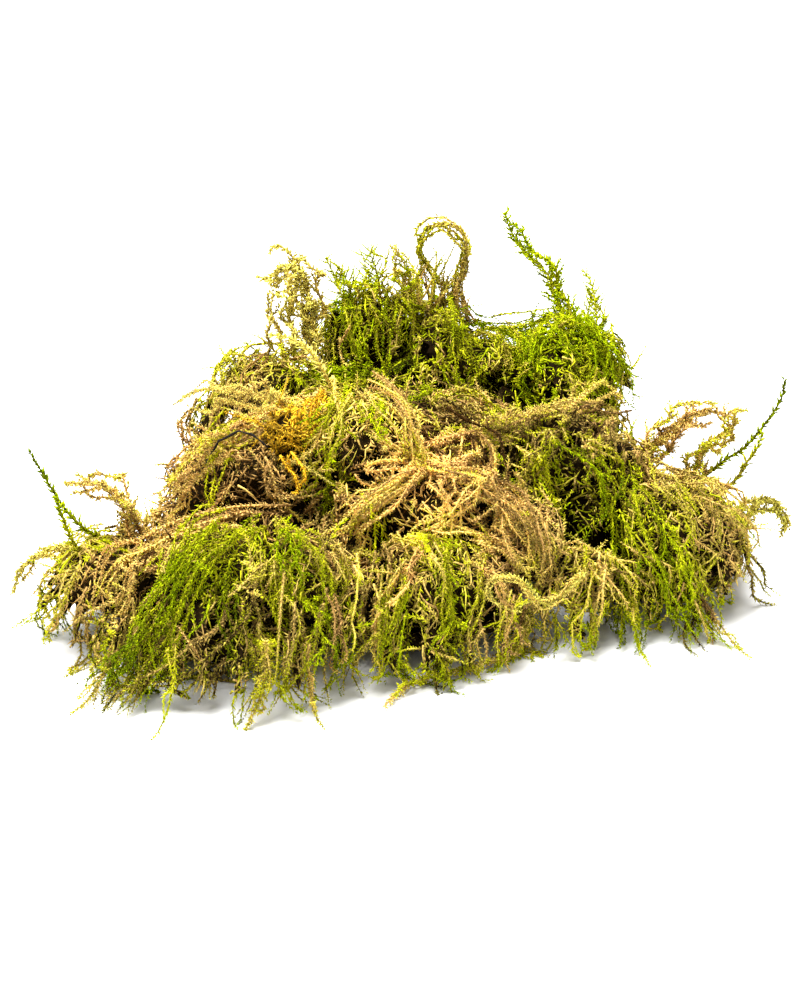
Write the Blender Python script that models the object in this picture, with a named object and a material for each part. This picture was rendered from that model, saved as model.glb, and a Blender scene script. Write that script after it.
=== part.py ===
"""A loose clump of dried sheet moss: a matted bed of old growth with draped green tufts rooted in it
and single shoots that stand, curl and trail out of them. It rests on a flat cut underside at z = 0.

Lengths in the tables are millimetres; the solids are built in metres, +Z up, front towards -Y.
"""

import math

import bmesh
import bpy
from mathutils import Matrix, Vector, noise
from mathutils.bvhtree import BVHTree

MM = 0.001

# Driving dimensions
GAP = 0.35 * MM                 # clear space left between pieces that touch
SHOOT_THICKNESS = 1.9 * MM      # across a leafy shoot, leaves included
LOCK_ROOT, LOCK_TIP = 2.6 * MM, 0.95 * MM   # radius of a combed lock where it leaves its tuft, and at its tip
LOCK_LIFT = 1.1 * MM            # height of a lock's middle line over what it lies on
LOCK_LOOSENESS = 4.0 * MM       # how far a lock's tip may stand off what it lies on
BED_ROUGHNESS = 1.7 * MM        # height of the lumps and pits in the old growth
TUFT_ROUGHNESS = 0.7 * MM
BED_VOXEL, TUFT_VOXEL = 1.4 * MM, 0.75 * MM
BED_TRIANGLES, SOCKET_TRIANGLES = 2200, 6000
CROWN_TRIANGLES, LOCK_TRIANGLES = 52, 33
SHOOT_SIDES = 5
SHOOT_STEP = 3.8 * MM           # length of one straight stretch of a shoot
NECK_SHARE = 0.35               # thickness of a shoot at its root against its full thickness
LIFT_STEP = 0.5 * MM            # a free shoot is eased over a bump by up to so many of these steps
LIFT_STEPS = 5
SOCKET_ROOM = 0.8 * MM          # how much wider than the gap the old growth is let out round a tuft
FLOOR_CLEARANCE = 0.05 * MM
MEND_ROUNDS = 4

# Old growth: lumps as (centre, half sizes)
BED_LUMPS = {
    "middle_hump": ((-6, -4, 14), (43, 25, 21)),
    "middle_left": ((-33, -14, 12), (22, 20, 18)),
    "middle_right": ((33, -4, 13), (21, 17, 19)),
    "rear_hump": ((4, 36, 14), (42, 27, 17)),
    "rear_top": ((2, 43, 23), (26, 13, 13)),
    "rear_shoulder": ((-28, 28, 18), (12, 15, 12)),
    "rear_right_shoulder": ((33, 36, 19), (13, 15, 10)),
    "front_left_lobe": ((-37, -41, 8), (27, 18, 12)),
    "front_middle": ((2, -36, 8), (23, 17, 11)),
    "right_lobe": ((53, -17, 9), (20, 18, 11)),
    "left_wing": ((-60, -28, 10), (13, 12, 8)),
}
# Matted strands that stand out of the old growth as ridges: their routes, laid on its surface
BED_RIDGES = (
    ((-44, -14, 29), (-30, -10, 36), (-14, -6, 38), (4, -8, 37)),
    ((-36, -22, 28), (-26, -16, 35), (-12, -12, 38), (2, -4, 38)),
    ((8, -16, 33), (20, -10, 36), (32, -4, 36), (44, 0, 33)),
    ((38, 14, 28), (44, 4, 31), (49, -2, 31), (54, -4, 24)),
    ((-40, 4, 26), (-42, -8, 29), (-46, -18, 25), (-52, -26, 19)),
    ((12, 20, 29), (20, 12, 31), (24, 2, 33), (22, -6, 34)),
    ((-22, 12, 31), (-12, 6, 36), (0, 4, 36), (12, 4, 35)),
    ((60, -8, 18), (66, -8, 16), (72, -10, 11), (76, -12, 6)),
)
# Short strands scattered over the humps, as (centre, half sizes of the patch, how many)
STRAND_PATCHES = (((-8, -6, 0), (38, 17, 0), 12), ((2, 24, 0), (34, 16, 0), 7), ((50, -8, 0), (17, 10, 0), 3))
STRAND_LENGTH = 27 * MM
# Strands combed down round the rim of the old growth, between these directions in degrees about +Z
SKIRT_FROM, SKIRT_TO, SKIRT_COUNT = -20, 200, 19
SKIRT_MIDDLE = (4, 22, 0)
SKIRT_SIZES = (43, 42)
RIDGE_RADIUS, RIDGE_LIFT = 3.1 * MM, 1.9 * MM
GOLDEN_ANGLE = 2.39996
# Dark hollows under the strands, as (centre, half sizes)
BED_PITS = {
    "middle_hollow": ((-18, -25, 25), (8, 9, 6)),
    "left_hollow": ((-36, -28, 23), (6, 7, 6)),
    "front_notch": ((-16, -58, 7), (6, 8, 6)),
    "right_hollow": ((30, -26, 16), (7, 7, 5)),
    "lobe_gap": ((43, -24, 12), (5, 8, 9)),
    "gap_under_right": ((35, -46, 4), (9, 11, 6)),
    "saddle": ((46, 12, 21), (7, 9, 8)),
}

GREEN, OLIVE, STRAW, OLD, GOLD, PALE, DARK = (
    (0.36, 0.47, 0.03), (0.28, 0.30, 0.04), (0.50, 0.37, 0.14), (0.17, 0.11, 0.04),
    (0.60, 0.31, 0.04), (0.58, 0.50, 0.20), (0.025, 0.016, 0.012))

# Tufts: colour, crowns as (centre, half sizes), then fans of locks as
# (how many, the crest they spring from, the hem where their tips end)
TUFTS = {
    "front_left_tuft": (GREEN, [((-36, -46, 17), (17, 12, 9)), ((-22, -49, 18), (10, 9, 8))], [
        (9, [(-54, -40, 20), (-38, -40, 28), (-24, -42, 28), (-14, -46, 21)],
         [(-63, -57, 2), (-54, -67, 3), (-44, -72, 2), (-35, -74, 4), (-25, -72, 2), (-16, -67, 4), (-9, -58, 7)])]),
    "front_middle_tuft": (GREEN, [((6, -43, 13), (14, 10, 8))], [
        (7, [(-6, -38, 19), (6, -36, 24), (20, -35, 20)],
         [(-10, -58, 4), (-3, -62, 2), (5, -61, 4), (12, -59, 2), (18, -54, 4), (23, -47, 8)])]),
    "straw_mound": (STRAW, [((2, -27, 25), (17, 9, 6)), ((24, -30, 17), (9, 8, 7))], [
        (6, [(-14, -17, 36), (2, -18, 35), (16, -20, 33), (28, -22, 27)],
         [(-16, -37, 23), (-5, -36, 25), (8, -33, 28), (22, -38, 18), (33, -38, 12)])]),
    "inner_right_tuft": (GREEN, [((33, -11, 26), (10, 7, 6))], [
        (5, [(23, -6, 34), (33, -4, 36), (42, -6, 31)], [(20, -18, 27), (28, -22, 24), (37, -21, 22), (45, -14, 22)])]),
    "right_tuft": (GREEN, [((57, -19, 15), (13, 12, 8))], [
        (7, [(47, -8, 25), (56, -7, 27), (66, -8, 23)],
         [(44, -34, 8), (50, -41, 3), (57, -40, 6), (64, -37, 4), (71, -28, 7), (77, -17, 7)])]),
    "lower_right_tuft": (GREEN, [((36, -34, 10), (8, 7, 6))], [
        (4, [(30, -27, 17), (36, -26, 18), (42, -28, 15)], [(26, -43, 9), (31, -46, 2), (37, -47, 1.5), (42, -43, 4)])]),
    "rear_right_tuft": (GREEN, [((35, 38, 27), (13, 12, 9))], [
        (6, [(23, 42, 34), (34, 45, 39), (44, 44, 39)], [(20, 28, 28), (28, 21, 26), (38, 21, 27), (49, 30, 25), (53, 38, 25)]),
        (3, [(26, 44, 35), (40, 46, 39)], [(24, 60, 16), (37, 61, 12), (49, 52, 18)])]),
    "rear_middle_tuft": (OLIVE, [((10, 36, 30), (11, 10, 8))], [
        (4, [(1, 44, 41), (10, 46, 45), (18, 44, 40)], [(-1, 27, 31), (8, 22, 30), (18, 25, 29)]),
        (2, [(4, 46, 42), (15, 46, 42)], [(3, 62, 16), (15, 64, 14)])]),
    "rear_left_tuft": (GREEN, [((-9, 44, 35), (12, 8, 8))], [
        (4, [(-19, 44, 41), (-9, 47, 46), (-1, 46, 44)], [(-22, 31, 35), (-12, 28, 34), (-1, 32, 35)]),
        (2, [(-15, 47, 42), (-5, 48, 44)], [(-22, 60, 20), (-7, 63, 17)])]),
    "left_shoulder_tuft": (OLIVE, [((-30, 27, 26), (11, 11, 8))], [
        (6, [(-33, 39, 34), (-29, 31, 37), (-22, 24, 37)], [(-42, 46, 18), (-49, 32, 14), (-47, 18, 16), (-38, 9, 23), (-26, 7, 30)])]),
    "frond_tuft": (GREEN, [((-9, -15, 35), (10, 7, 5))], [
        (5, [(-15, -6, 42), (-6, -7, 43), (1, -9, 41)], [(-22, -18, 36), (-15, -26, 32), (-6, -25, 34), (3, -20, 36)])]),
    "golden_tuft": (GOLD, [((-26, -14, 36), (5, 5, 4))], [
        (2, [(-29, -9, 39), (-24, -8, 40)], [(-31, -20, 33), (-24, -21, 33)])]),
    "left_wing_tuft": (GREEN, [((-64, -36, 11), (9, 8, 6))], [
        (5, [(-56, -30, 20), (-66, -28, 18)], [(-62, -54, 2), (-71, -50, 2), (-78, -43, 4), (-77, -33, 9)])]),
}

# Single shoots: colour, thickness against SHOOT_THICKNESS, and the middle line from root to tip
SHOOTS = {
    "left_long_shoot": (OLIVE, 0.8, [(-62, -28, 15), (-65, -29, 19), (-68, -31, 22), (-72, -33, 28),
                                     (-76, -35, 37), (-78, -36, 42)]),
    "left_side_shoot": (OLIVE, 0.8, [(-66, -32, 14), (-70, -34, 20), (-72, -36, 27), (-73, -38, 33)]),
    "right_long_shoot": (OLIVE, 0.8, [(64, 8, 15), (70, 7, 21), (74, 5, 25), (78, 4, 31), (81, 3, 37),
                                      (81.5, 2, 42)]),
    "right_side_shoot": (OLIVE, 0.8, [(67, 2, 14), (72, 3, 18), (74, 1, 23), (76, 0, 27), (77, -1, 31)]),
    "rear_tall_shoot": (GREEN, 1.2, [(39, 44, 30), (37, 47, 37), (34, 49, 42), (32, 50, 48), (27, 51, 53),
                                     (23.5, 52, 58), (22, 52, 62.5)]),
    "rear_feather_shoot": (GREEN, 1.2, [(43, 40, 32), (43, 43, 40), (42, 46, 47), (40, 48, 50)]),
    "rear_ring_shoot": (OLIVE, 1.0, [(10, 45, 38), (10.5, 46, 45), (12, 46, 50), (13, 46, 55), (11.5, 46, 59),
                                     (7.5, 46.5, 61), (3.5, 48, 59), (2.5, 49, 55), (4.5, 50, 51.5)]),
    "rear_inner_shoot": (OLIVE, 1.0, [(3, 43, 38), (1, 42, 45), (0, 42, 51), (-2, 42, 56), (-4, 42, 58)]),
    "rear_feathery_shoot": (GREEN, 1.2, [(-12, 44, 42), (-14, 44, 49), (-17, 44, 53.5)]),
    "rear_upright_shoot": (GREEN, 1.2, [(-6, 44, 42), (-7, 45, 50), (-9, 46, 56)]),
    "rear_left_curl": (PALE, 1.1, [(-24, 34, 33), (-23, 38, 43), (-23, 39, 50), (-25, 40, 54), (-28, 39, 53.5),
                                   (-31, 38, 52), (-34, 37, 52.5)]),
    "rear_low_curl": (PALE, 1.1, [(-28, 30, 33), (-29, 34, 40), (-31, 35, 45), (-30, 35, 49), (-27.5, 35, 50)]),
    "feather_arch": (PALE, 1.0, [(-15, -3, 37), (-17, -4, 44), (-20, -7, 51), (-23, -10, 55.5), (-26, -12, 58),
                                 (-29, -14, 59)]),
    "upper_left_arch": (PALE, 1.1, [(-23, -4, 36), (-28, -8, 42), (-36, -12, 45), (-42, -13, 46.5),
                                    (-46, -14, 46), (-50, -15, 43.5)]),
    "left_hanging_strand": (STRAW, 1.0, [(-39, -10, 27), (-43, -12, 32), (-48, -14, 35.5), (-49, -14.5, 39),
                                         (-46, -15, 42)]),
    "left_bridge_strand": (STRAW, 1.2, [(-36, -12, 27), (-41, -16, 34), (-45, -21, 32), (-49, -25, 30),
                                        (-54, -27, 28)]),
    "left_wing_strand": (STRAW, 1.1, [(-55, -30, 16), (-58, -29, 24), (-61, -28, 29), (-65, -28, 31),
                                      (-69, -28, 31), (-72, -29, 32)]),
    "far_left_tip": (PALE, 0.9, [(-64, -28, 12), (-72, -29, 17), (-78, -30, 16), (-82, -31, 12), (-83.5, -33, 8)]),
    "far_right_tip": (PALE, 0.9, [(72, -2, 8), (77, 1, 13), (81, 1, 13), (83.5, 0, 9.5), (82, -1, 6)]),
    "right_wing_strand": (STRAW, 1.2, [(50, 2, 18), (54, 4, 26), (58, 4, 30), (62, 4, 33), (66, 4, 34),
                                       (70, 3, 33)]),
    "right_curl": (STRAW, 1.1, [(62, 3, 15), (65, 5, 25), (69, 5, 28), (71.5, 4.5, 31), (71, 4, 34), (74, 3, 34.5)]),
    "front_left_drip": (GREEN, 1.0, [(-46, -58, 14), (-47, -66, 13), (-47, -73, 9), (-48, -78, 5), (-49.5, -81, 2),
                                     (-51, -84, 1.0)]),
    "front_drip": (STRAW, 1.0, [(-22, -58, 12), (-20.5, -66, 11), (-20, -71, 6), (-19, -75, 2.5), (-17, -79, 1.0)]),
    "front_fork": (STRAW, 1.0, [(-30, -60, 12), (-29, -68, 13), (-29, -73, 8), (-31, -76, 3), (-32, -78, 1.0)]),
    "low_left_trail": (OLIVE, 0.9, [(-58, -46, 4), (-60, -54, 5), (-63, -60, 2), (-65, -67, 1.0), (-68, -73, 1.0)]),
    "front_trail": (STRAW, 1.1, [(22, -32, 8), (24, -42, 6), (22, -46, 2), (18, -50, 1.1), (10, -55, 1.1),
                                 (2, -59, 1.1), (-1, -62, 1.1), (-5, -70, 1.1)]),
    "pale_curl": (PALE, 1.2, [(38, -30, 10), (36, -40, 16), (31, -47, 14.5), (27, -50, 14.5), (24, -51, 18.5),
                              (21, -52, 21.5), (18, -52, 21.5), (16, -52, 18.5), (18, -52, 15.5)]),
    "hollow_stalk": (PALE, 0.8, [(-29, -17, 29), (-24, -24, 34.5), (-20, -28, 34), (-16, -31, 32.5)]),
    "crest_strand": (STRAW, 1.2, [(12, -12, 34), (18, -12, 38.5), (26, -10, 39), (34, -8, 39), (38, -3, 41),
                                  (42, 1, 42), (45, 2, 39), (47, 3, 36)]),
    "right_drip": (GREEN, 1.0, [(48, -32, 8), (47, -42, 7), (48, -48, 3), (50, -53, 1.0)]),
    "right_trail": (OLIVE, 0.9, [(62, -30, 5), (65, -38, 4), (68, -43, 1.5), (71, -49, 1.0)]),
    "dark_twig": (DARK, 0.8, [(-44, -15, 28), (-40, -19, 37), (-36, -22, 40.5), (-33, -23, 40.5), (-29.5, -24, 38)]),
}


def vec(point):
    """A table's point, in millimetres, as metres."""
    return Vector(point) * MM


def clear_scene():
    for old in list(bpy.data.objects):
        bpy.data.objects.remove(old, do_unlink=True)


def paint(thing, name, colour, roughness=0.9):
    """Gives an object its own Principled material."""
    material = bpy.data.materials.new(name)
    material.use_nodes = True
    shader = material.node_tree.nodes["Principled BSDF"]
    shader.inputs["Base Color"].default_value = (*colour, 1.0)
    shader.inputs["Roughness"].default_value = roughness
    shader.inputs["Metallic"].default_value = 0.0
    thing.data.materials.append(material)


def object_from(bm, name):
    mesh = bpy.data.meshes.new(name)
    bm.to_mesh(mesh)
    bm.free()
    thing = bpy.data.objects.new(name, mesh)
    bpy.context.collection.objects.link(thing)
    return thing


def add_lump(bm, centre, half_sizes):
    """Adds one ellipsoid."""
    place = Matrix.Translation(vec(centre)) @ Matrix.Diagonal((*vec(half_sizes), 1.0))
    bmesh.ops.create_icosphere(bm, subdivisions=4, radius=1.0, matrix=place)


def smooth_line(points, step):
    """Points about a step apart on a smooth curve through the given ones (Catmull-Rom)."""
    ends = [points[0] * 2 - points[1], *points, points[-1] * 2 - points[-2]]
    line = []
    for a, b, c, d in zip(ends, ends[1:], ends[2:], ends[3:]):
        count = max(1, round((c - b).length / step))
        for i in range(count):
            t = i / count
            line.append(0.5 * (2 * b + (c - a) * t + (2 * a - 5 * b + 4 * c - d) * t**2
                               + (3 * b - a - 3 * c + d) * t**3))
    return line + [points[-1]]


def add_tube(bm, line, radii, sides):
    """Adds a closed tapered tube along a line, with a point at its tip and a flat cap at its root."""
    forward = (line[1] - line[0]).normalized()
    across = forward.orthogonal().normalized()
    rings = []
    for i, (middle, radius) in enumerate(zip(line[:-1], radii)):
        ahead = (line[i + 1] - line[max(i - 1, 0)]).normalized()
        across = (across - ahead * across.dot(ahead)).normalized()
        side = ahead.cross(across)
        turn = [2 * math.pi * k / sides for k in range(sides)]
        rings.append([bm.verts.new(middle + (across * math.cos(a) + side * math.sin(a)) * radius) for a in turn])
    tip = bm.verts.new(line[-1])
    for ring, following in zip(rings, rings[1:]):
        for k in range(sides):
            after = (k + 1) % sides
            bm.faces.new((ring[k], ring[after], following[after], following[k]))
    for k in range(sides):
        bm.faces.new((rings[-1][k], rings[-1][(k + 1) % sides], tip))
    bm.faces.new(list(reversed(rings[0])))


def taper(count, root, tip):
    return [root + (tip - root) * i / max(1, count - 1) for i in range(count)]


def settled(thing, kind, **settings):
    """Adds one modifier and applies it."""
    modifier = thing.modifiers.new(kind.lower(), kind)
    for key, value in settings.items():
        setattr(modifier, key, value)
    graph = bpy.context.evaluated_depsgraph_get()
    made = bpy.data.meshes.new_from_object(thing.evaluated_get(graph))
    thing.modifiers.clear()
    old, thing.data = thing.data, made
    bpy.data.meshes.remove(old)
    return thing


def thin(thing, triangles):
    """Thins a skin to about a number of triangles."""
    settled(thing, "TRIANGULATE")
    if len(thing.data.polygons) > triangles:
        settled(thing, "DECIMATE", ratio=triangles / len(thing.data.polygons))
    return thing


def roughen(thing, height, size, seed):
    """Moves the surface in and out by smooth noise: lumps and pits of two sizes."""
    mesh = thing.data
    offset = Vector((seed * 7.3, seed * 3.1, seed * 1.7))
    moves = []
    for vertex in mesh.vertices:
        wide = noise.noise(vertex.co / size + offset)
        fine = noise.noise(vertex.co / (size * 0.42) - offset)
        moves.append(vertex.normal * height * (wide * 1.3 + fine * 0.7))
    for vertex, move in zip(mesh.vertices, moves):
        vertex.co += move
    mesh.update()


def one_skin(bm, name, voxel, triangles, roughness, seed):
    """Fuses joined closed shapes to one skin, roughens it, and thins it to a number of triangles."""
    thing = object_from(bm, name)
    settled(thing, "REMESH", mode="VOXEL", voxel_size=voxel)
    settled(thing, "SMOOTH", factor=0.5, iterations=2)
    roughen(thing, roughness, 9 * MM, seed)
    return thin(keep_largest(thing), triangles)


def cut(thing, cutter):
    """Takes the cutter out of the thing, then removes the cutter."""
    cutter.hide_render = True
    cutter.display_type = "WIRE"
    settled(thing, "BOOLEAN", operation="DIFFERENCE", object=cutter, solver="EXACT")
    bpy.data.objects.remove(cutter, do_unlink=True)
    return thing


def grown(thing, by):
    """A copy whose surface stands further out, for cutting a neighbour with a gap."""
    copy = bpy.data.objects.new("cutter", thing.data.copy())
    bpy.context.collection.objects.link(copy)
    moves = [vertex.normal * by for vertex in copy.data.vertices]
    for vertex, move in zip(copy.data.vertices, moves):
        vertex.co += move
    return copy


def drop_loose(bm):
    edges = [edge for edge in bm.edges if not edge.link_faces]
    bmesh.ops.delete(bm, geom=edges, context="EDGES")
    vertices = [vertex for vertex in bm.verts if not vertex.link_faces]
    bmesh.ops.delete(bm, geom=vertices, context="VERTS")


def mend(bm):
    """Where a skin touches itself along an edge, takes out the faces there and fills the hole."""
    for _ in range(MEND_ROUNDS):
        bad = [edge for edge in bm.edges if len(edge.link_faces) != 2]
        if not bad:
            return
        faces = {face for edge in bad for vertex in edge.verts for face in vertex.link_faces}
        bmesh.ops.delete(bm, geom=list(faces), context="FACES")
        drop_loose(bm)
        rim = [edge for edge in bm.edges if edge.is_boundary]
        bmesh.ops.holes_fill(bm, edges=rim, sides=0)
        bmesh.ops.triangulate(bm, faces=bm.faces)


def keep_largest(thing):
    """Removes all but the largest loose body, and merges what a cut left doubled."""
    bm = bmesh.new()
    bm.from_mesh(thing.data)
    bmesh.ops.remove_doubles(bm, verts=bm.verts, dist=0.004 * MM)
    bmesh.ops.dissolve_degenerate(bm, edges=bm.edges, dist=0.004 * MM)
    unseen = set(bm.faces)
    bodies = []
    while unseen:
        body, edge_of_search = set(), [unseen.pop()]
        while edge_of_search:
            face = edge_of_search.pop()
            body.add(face)
            for edge in face.edges:
                for neighbour in edge.link_faces:
                    if neighbour in unseen:
                        unseen.discard(neighbour)
                        edge_of_search.append(neighbour)
        bodies.append(body)
    bodies.sort(key=lambda faces: sum(face.calc_area() for face in faces))
    spare = [face for body in bodies[:-1] for face in body]
    bmesh.ops.delete(bm, geom=spare, context="FACES")
    drop_loose(bm)
    bmesh.ops.triangulate(bm, faces=bm.faces)
    mend(bm)
    bm.to_mesh(thing.data)
    bm.free()
    return thing


def flat_underside(thing, level=0.0):
    """Cuts a piece off flat at the floor."""
    bm = bmesh.new()
    place = Matrix.Translation((0, 0, level - 0.05)) @ Matrix.Diagonal((0.4, 0.4, 0.1, 1.0))
    bmesh.ops.create_cube(bm, size=1.0, matrix=place)
    return keep_largest(cut(thing, object_from(bm, "floor_cutter")))


def surface_of(thing):
    graph = bpy.context.evaluated_depsgraph_get()
    return BVHTree.FromObject(thing, graph)


def surface_of_all(things):
    """One search tree over several separate closed solids."""
    bm = bmesh.new()
    for thing in things:
        bm.from_mesh(thing.data)
    surface = BVHTree.FromBMesh(bm)
    bm.free()
    return surface


def height_over(surface, point):
    """Height of the surface straight above or below a point, or None outside it."""
    hit = surface.ray_cast(Vector((point.x, point.y, 0.2)), Vector((0, 0, -1)))[0]
    return None if hit is None else hit.z


def along(points, share):
    """The point at a share, from 0 to 1, of the way along a row of points."""
    place = share * (len(points) - 1)
    first = min(int(place), len(points) - 2)
    return vec(points[first]).lerp(vec(points[first + 1]), place - first)


def lock_line(crest, hem, surface, sway):
    """The middle line of one combed lock: level where it leaves the crest, then falling to its tip."""
    out = Vector((hem.x - crest.x, hem.y - crest.y, 0))
    side = Vector((-out.y, out.x, 0)).normalized() * sway
    rise = Vector((0, 0, 1.5 * MM))
    drop = Vector((0, 0, (crest.z - hem.z) * 0.4))
    knee, shin = crest + out * 0.45 + rise + side, hem - out * 0.14 + drop + side * 0.4
    count = max(5, round((hem - crest).length / (3 * MM)))
    line = []
    for i in range(count + 1):
        t = i / count
        point = crest * (1 - t)**3 + knee * 3 * t * (1 - t)**2 + shin * 3 * t**2 * (1 - t) + hem * t**3
        under = height_over(surface, point)
        if under is not None:
            point.z = max(min(point.z, under + LOCK_LIFT + t * LOCK_LOOSENESS), under + LOCK_LIFT * (1 - t))
        point.z = max(point.z, LOCK_TIP * 0.8)
        line.append(point)
    return line


def lock_radii(count):
    """Widest a third of the way down, narrow at the tip."""
    shares = [i / (count - 1) for i in range(count)]
    return [LOCK_TIP + (LOCK_ROOT - LOCK_TIP) * (1 - t**1.5) * (0.8 + 0.6 * t) for t in shares]


def bed_lumps():
    bm = bmesh.new()
    for centre, half_sizes in BED_LUMPS.values():
        add_lump(bm, centre, half_sizes)
    return bm


def scattered_strand(centre, half_sizes, i, count):
    """The route of one of many short curved strands, spread evenly over an oval patch."""
    turn, share = i * GOLDEN_ANGLE, math.sqrt((i + 0.5) / count)
    middle = centre + Vector((half_sizes.x * math.cos(turn), half_sizes.y * math.sin(turn), 0)) * share
    chance = noise.noise(Vector((i * 1.7, count * 0.3, 1.1)))
    heading = 0.5 * math.sin(i * 2.1) + chance * 2
    ahead = Vector((math.cos(heading), math.sin(heading), 0)) * STRAND_LENGTH / 2
    bow = Vector((-ahead.y, ahead.x, 0)) * (0.35 + chance) * (-1) ** i
    return [middle - ahead, middle - ahead * 0.4 + bow * 0.6, middle + ahead * 0.4 + bow, middle + ahead]


def laid_on(surface, line, lift):
    """A line set down on a surface, where it is over it."""
    for point in line:
        under = height_over(surface, point)
        if under is not None:
            point.z = under + lift
    return [point for point in line if point.z > lift]


def make_bed_skin():
    """The matted old growth before it is thinned: lumps and strands fused to one skin, with hollows."""
    bare = settled(object_from(bed_lumps(), "bare"), "REMESH", mode="VOXEL", voxel_size=BED_VOXEL)
    surface = surface_of(bare)
    bpy.data.objects.remove(bare, do_unlink=True)
    bm = bed_lumps()
    routes = [[vec(point) for point in route] for route in BED_RIDGES]
    for centre, half_sizes, count in STRAND_PATCHES:
        routes += [scattered_strand(vec(centre), vec(half_sizes), i, count) for i in range(count)]
    for route in routes:
        line = laid_on(surface, smooth_line(route, 3 * MM), RIDGE_LIFT)
        add_tube(bm, line, taper(len(line), RIDGE_RADIUS, RIDGE_RADIUS * 0.5), 8)
    for i in range(SKIRT_COUNT):
        chance = noise.noise(Vector((i * 1.91, 4.2, 0.7)))
        direction = math.radians(SKIRT_FROM + (SKIRT_TO - SKIRT_FROM) * i / (SKIRT_COUNT - 1) + 12 * chance)
        out = Vector((SKIRT_SIZES[0] * math.cos(direction), SKIRT_SIZES[1] * math.sin(direction), 0)) * MM
        crest = vec(SKIRT_MIDDLE) + out * (0.72 + 0.1 * chance)
        crest.z = height_over(surface, crest) + LOCK_LIFT
        hem = vec(SKIRT_MIDDLE) + out * (1.12 + 0.15 * chance)
        hem.z = (4 + 4 * chance) * MM
        line = lock_line(crest, hem, surface, chance * 14 * MM)
        add_tube(bm, line, [radius * 1.25 for radius in lock_radii(len(line))], 8)
    pits = bmesh.new()
    for centre, half_sizes in BED_PITS.values():
        add_lump(pits, centre, half_sizes)
    bed = object_from(bm, "old_growth")
    settled(bed, "REMESH", mode="VOXEL", voxel_size=BED_VOXEL)
    hollows = settled(object_from(pits, "hollows"), "REMESH", mode="VOXEL", voxel_size=BED_VOXEL)
    cut(bed, hollows)
    settled(bed, "REMESH", mode="VOXEL", voxel_size=BED_VOXEL)
    settled(bed, "SMOOTH", factor=0.5, iterations=2)
    roughen(bed, BED_ROUGHNESS, 11 * MM, 1)
    return keep_largest(bed)


def finish_bed(bed, tufts):
    """Lets the tufts into the old growth, thins it, and cuts it flat underneath."""
    sockets = bmesh.new()
    for tuft in tufts:
        socket = grown(tuft, GAP + SOCKET_ROOM)
        sockets.from_mesh(socket.data)
        bpy.data.objects.remove(socket, do_unlink=True)
    cutter = settled(object_from(sockets, "sockets"), "REMESH", mode="VOXEL", voxel_size=BED_VOXEL)
    thin(cutter, SOCKET_TRIANGLES)
    thin(bed, 2 * BED_TRIANGLES)
    keep_largest(cut(bed, cutter))
    thin(bed, BED_TRIANGLES)
    flat_underside(bed)
    paint(bed, "old_growth", OLD)


def make_tuft(name, colour, crowns, fans, bed, seed):
    """A tuft: rounded crowns, and locks combed from a crest down to a hem."""
    bm = bmesh.new()
    for centre, half_sizes in crowns:
        add_lump(bm, centre, half_sizes)
    under = bm.copy()
    under.from_mesh(bed.data)
    surface = BVHTree.FromBMesh(under)
    under.free()
    count = 0
    for locks, crest, hem in fans:
        for i in range(locks):
            chance = noise.noise(Vector((seed * 3.7, i * 1.37, locks * 2.5)))
            share = (i + 0.5 + 0.5 * chance) / locks
            tip = along(hem, share)
            tip.z += (1.5 + 3.0 * chance) * MM * (i % 2)
            line = lock_line(along(crest, share), tip, surface, chance * 9 * MM)
            add_tube(bm, line, lock_radii(len(line)), 7)
            count += 1
    triangles = CROWN_TRIANGLES * (1 + len(crowns)) + LOCK_TRIANGLES * count
    tuft = one_skin(bm, name, TUFT_VOXEL, triangles, TUFT_ROUGHNESS, seed)
    flat_underside(tuft, FLOOR_CLEARANCE)
    paint(tuft, name, colour)
    return tuft


def inside(surface, point):
    """Whether a point lies in a closed solid: a ray from it crosses the skin an odd number of times."""
    ray, crossings = Vector((0.31, 0.17, 0.93)).normalized(), 0
    place = surface.ray_cast(point, ray)[0]
    while place is not None:
        crossings += 1
        place = surface.ray_cast(place + ray * 0.001 * MM, ray)[0]
    return crossings % 2 == 1


def lift_needed(surface, point, room):
    """How far a point is raised to lie clear of the solids, or None if it is rooted in them."""
    for step in range(LIFT_STEPS + 1):
        raised = point + Vector((0, 0, step * LIFT_STEP))
        if surface.find_nearest(raised)[3] > room and not inside(surface, raised):
            return step * LIFT_STEP
    return None


def free_stretch(line, room, surface):
    """The part of a line, up to its tip, that lies clear of the solids, eased over low bumps."""
    lifts = []
    for point in reversed(line):
        lift = lift_needed(surface, point, room)
        if lift is None:
            break
        lifts.insert(0, lift)
    while lifts and lifts[0] > 0:
        lifts.pop(0)
    first = len(line) - len(lifts)
    free = [point.copy() for point in line[first:]]
    for i, point in enumerate(free):
        point.z += max(lifts[max(0, i - 2):i + 3])
        point.z = max(point.z, room - GAP + FLOOR_CLEARANCE)
    return first, free


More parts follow.
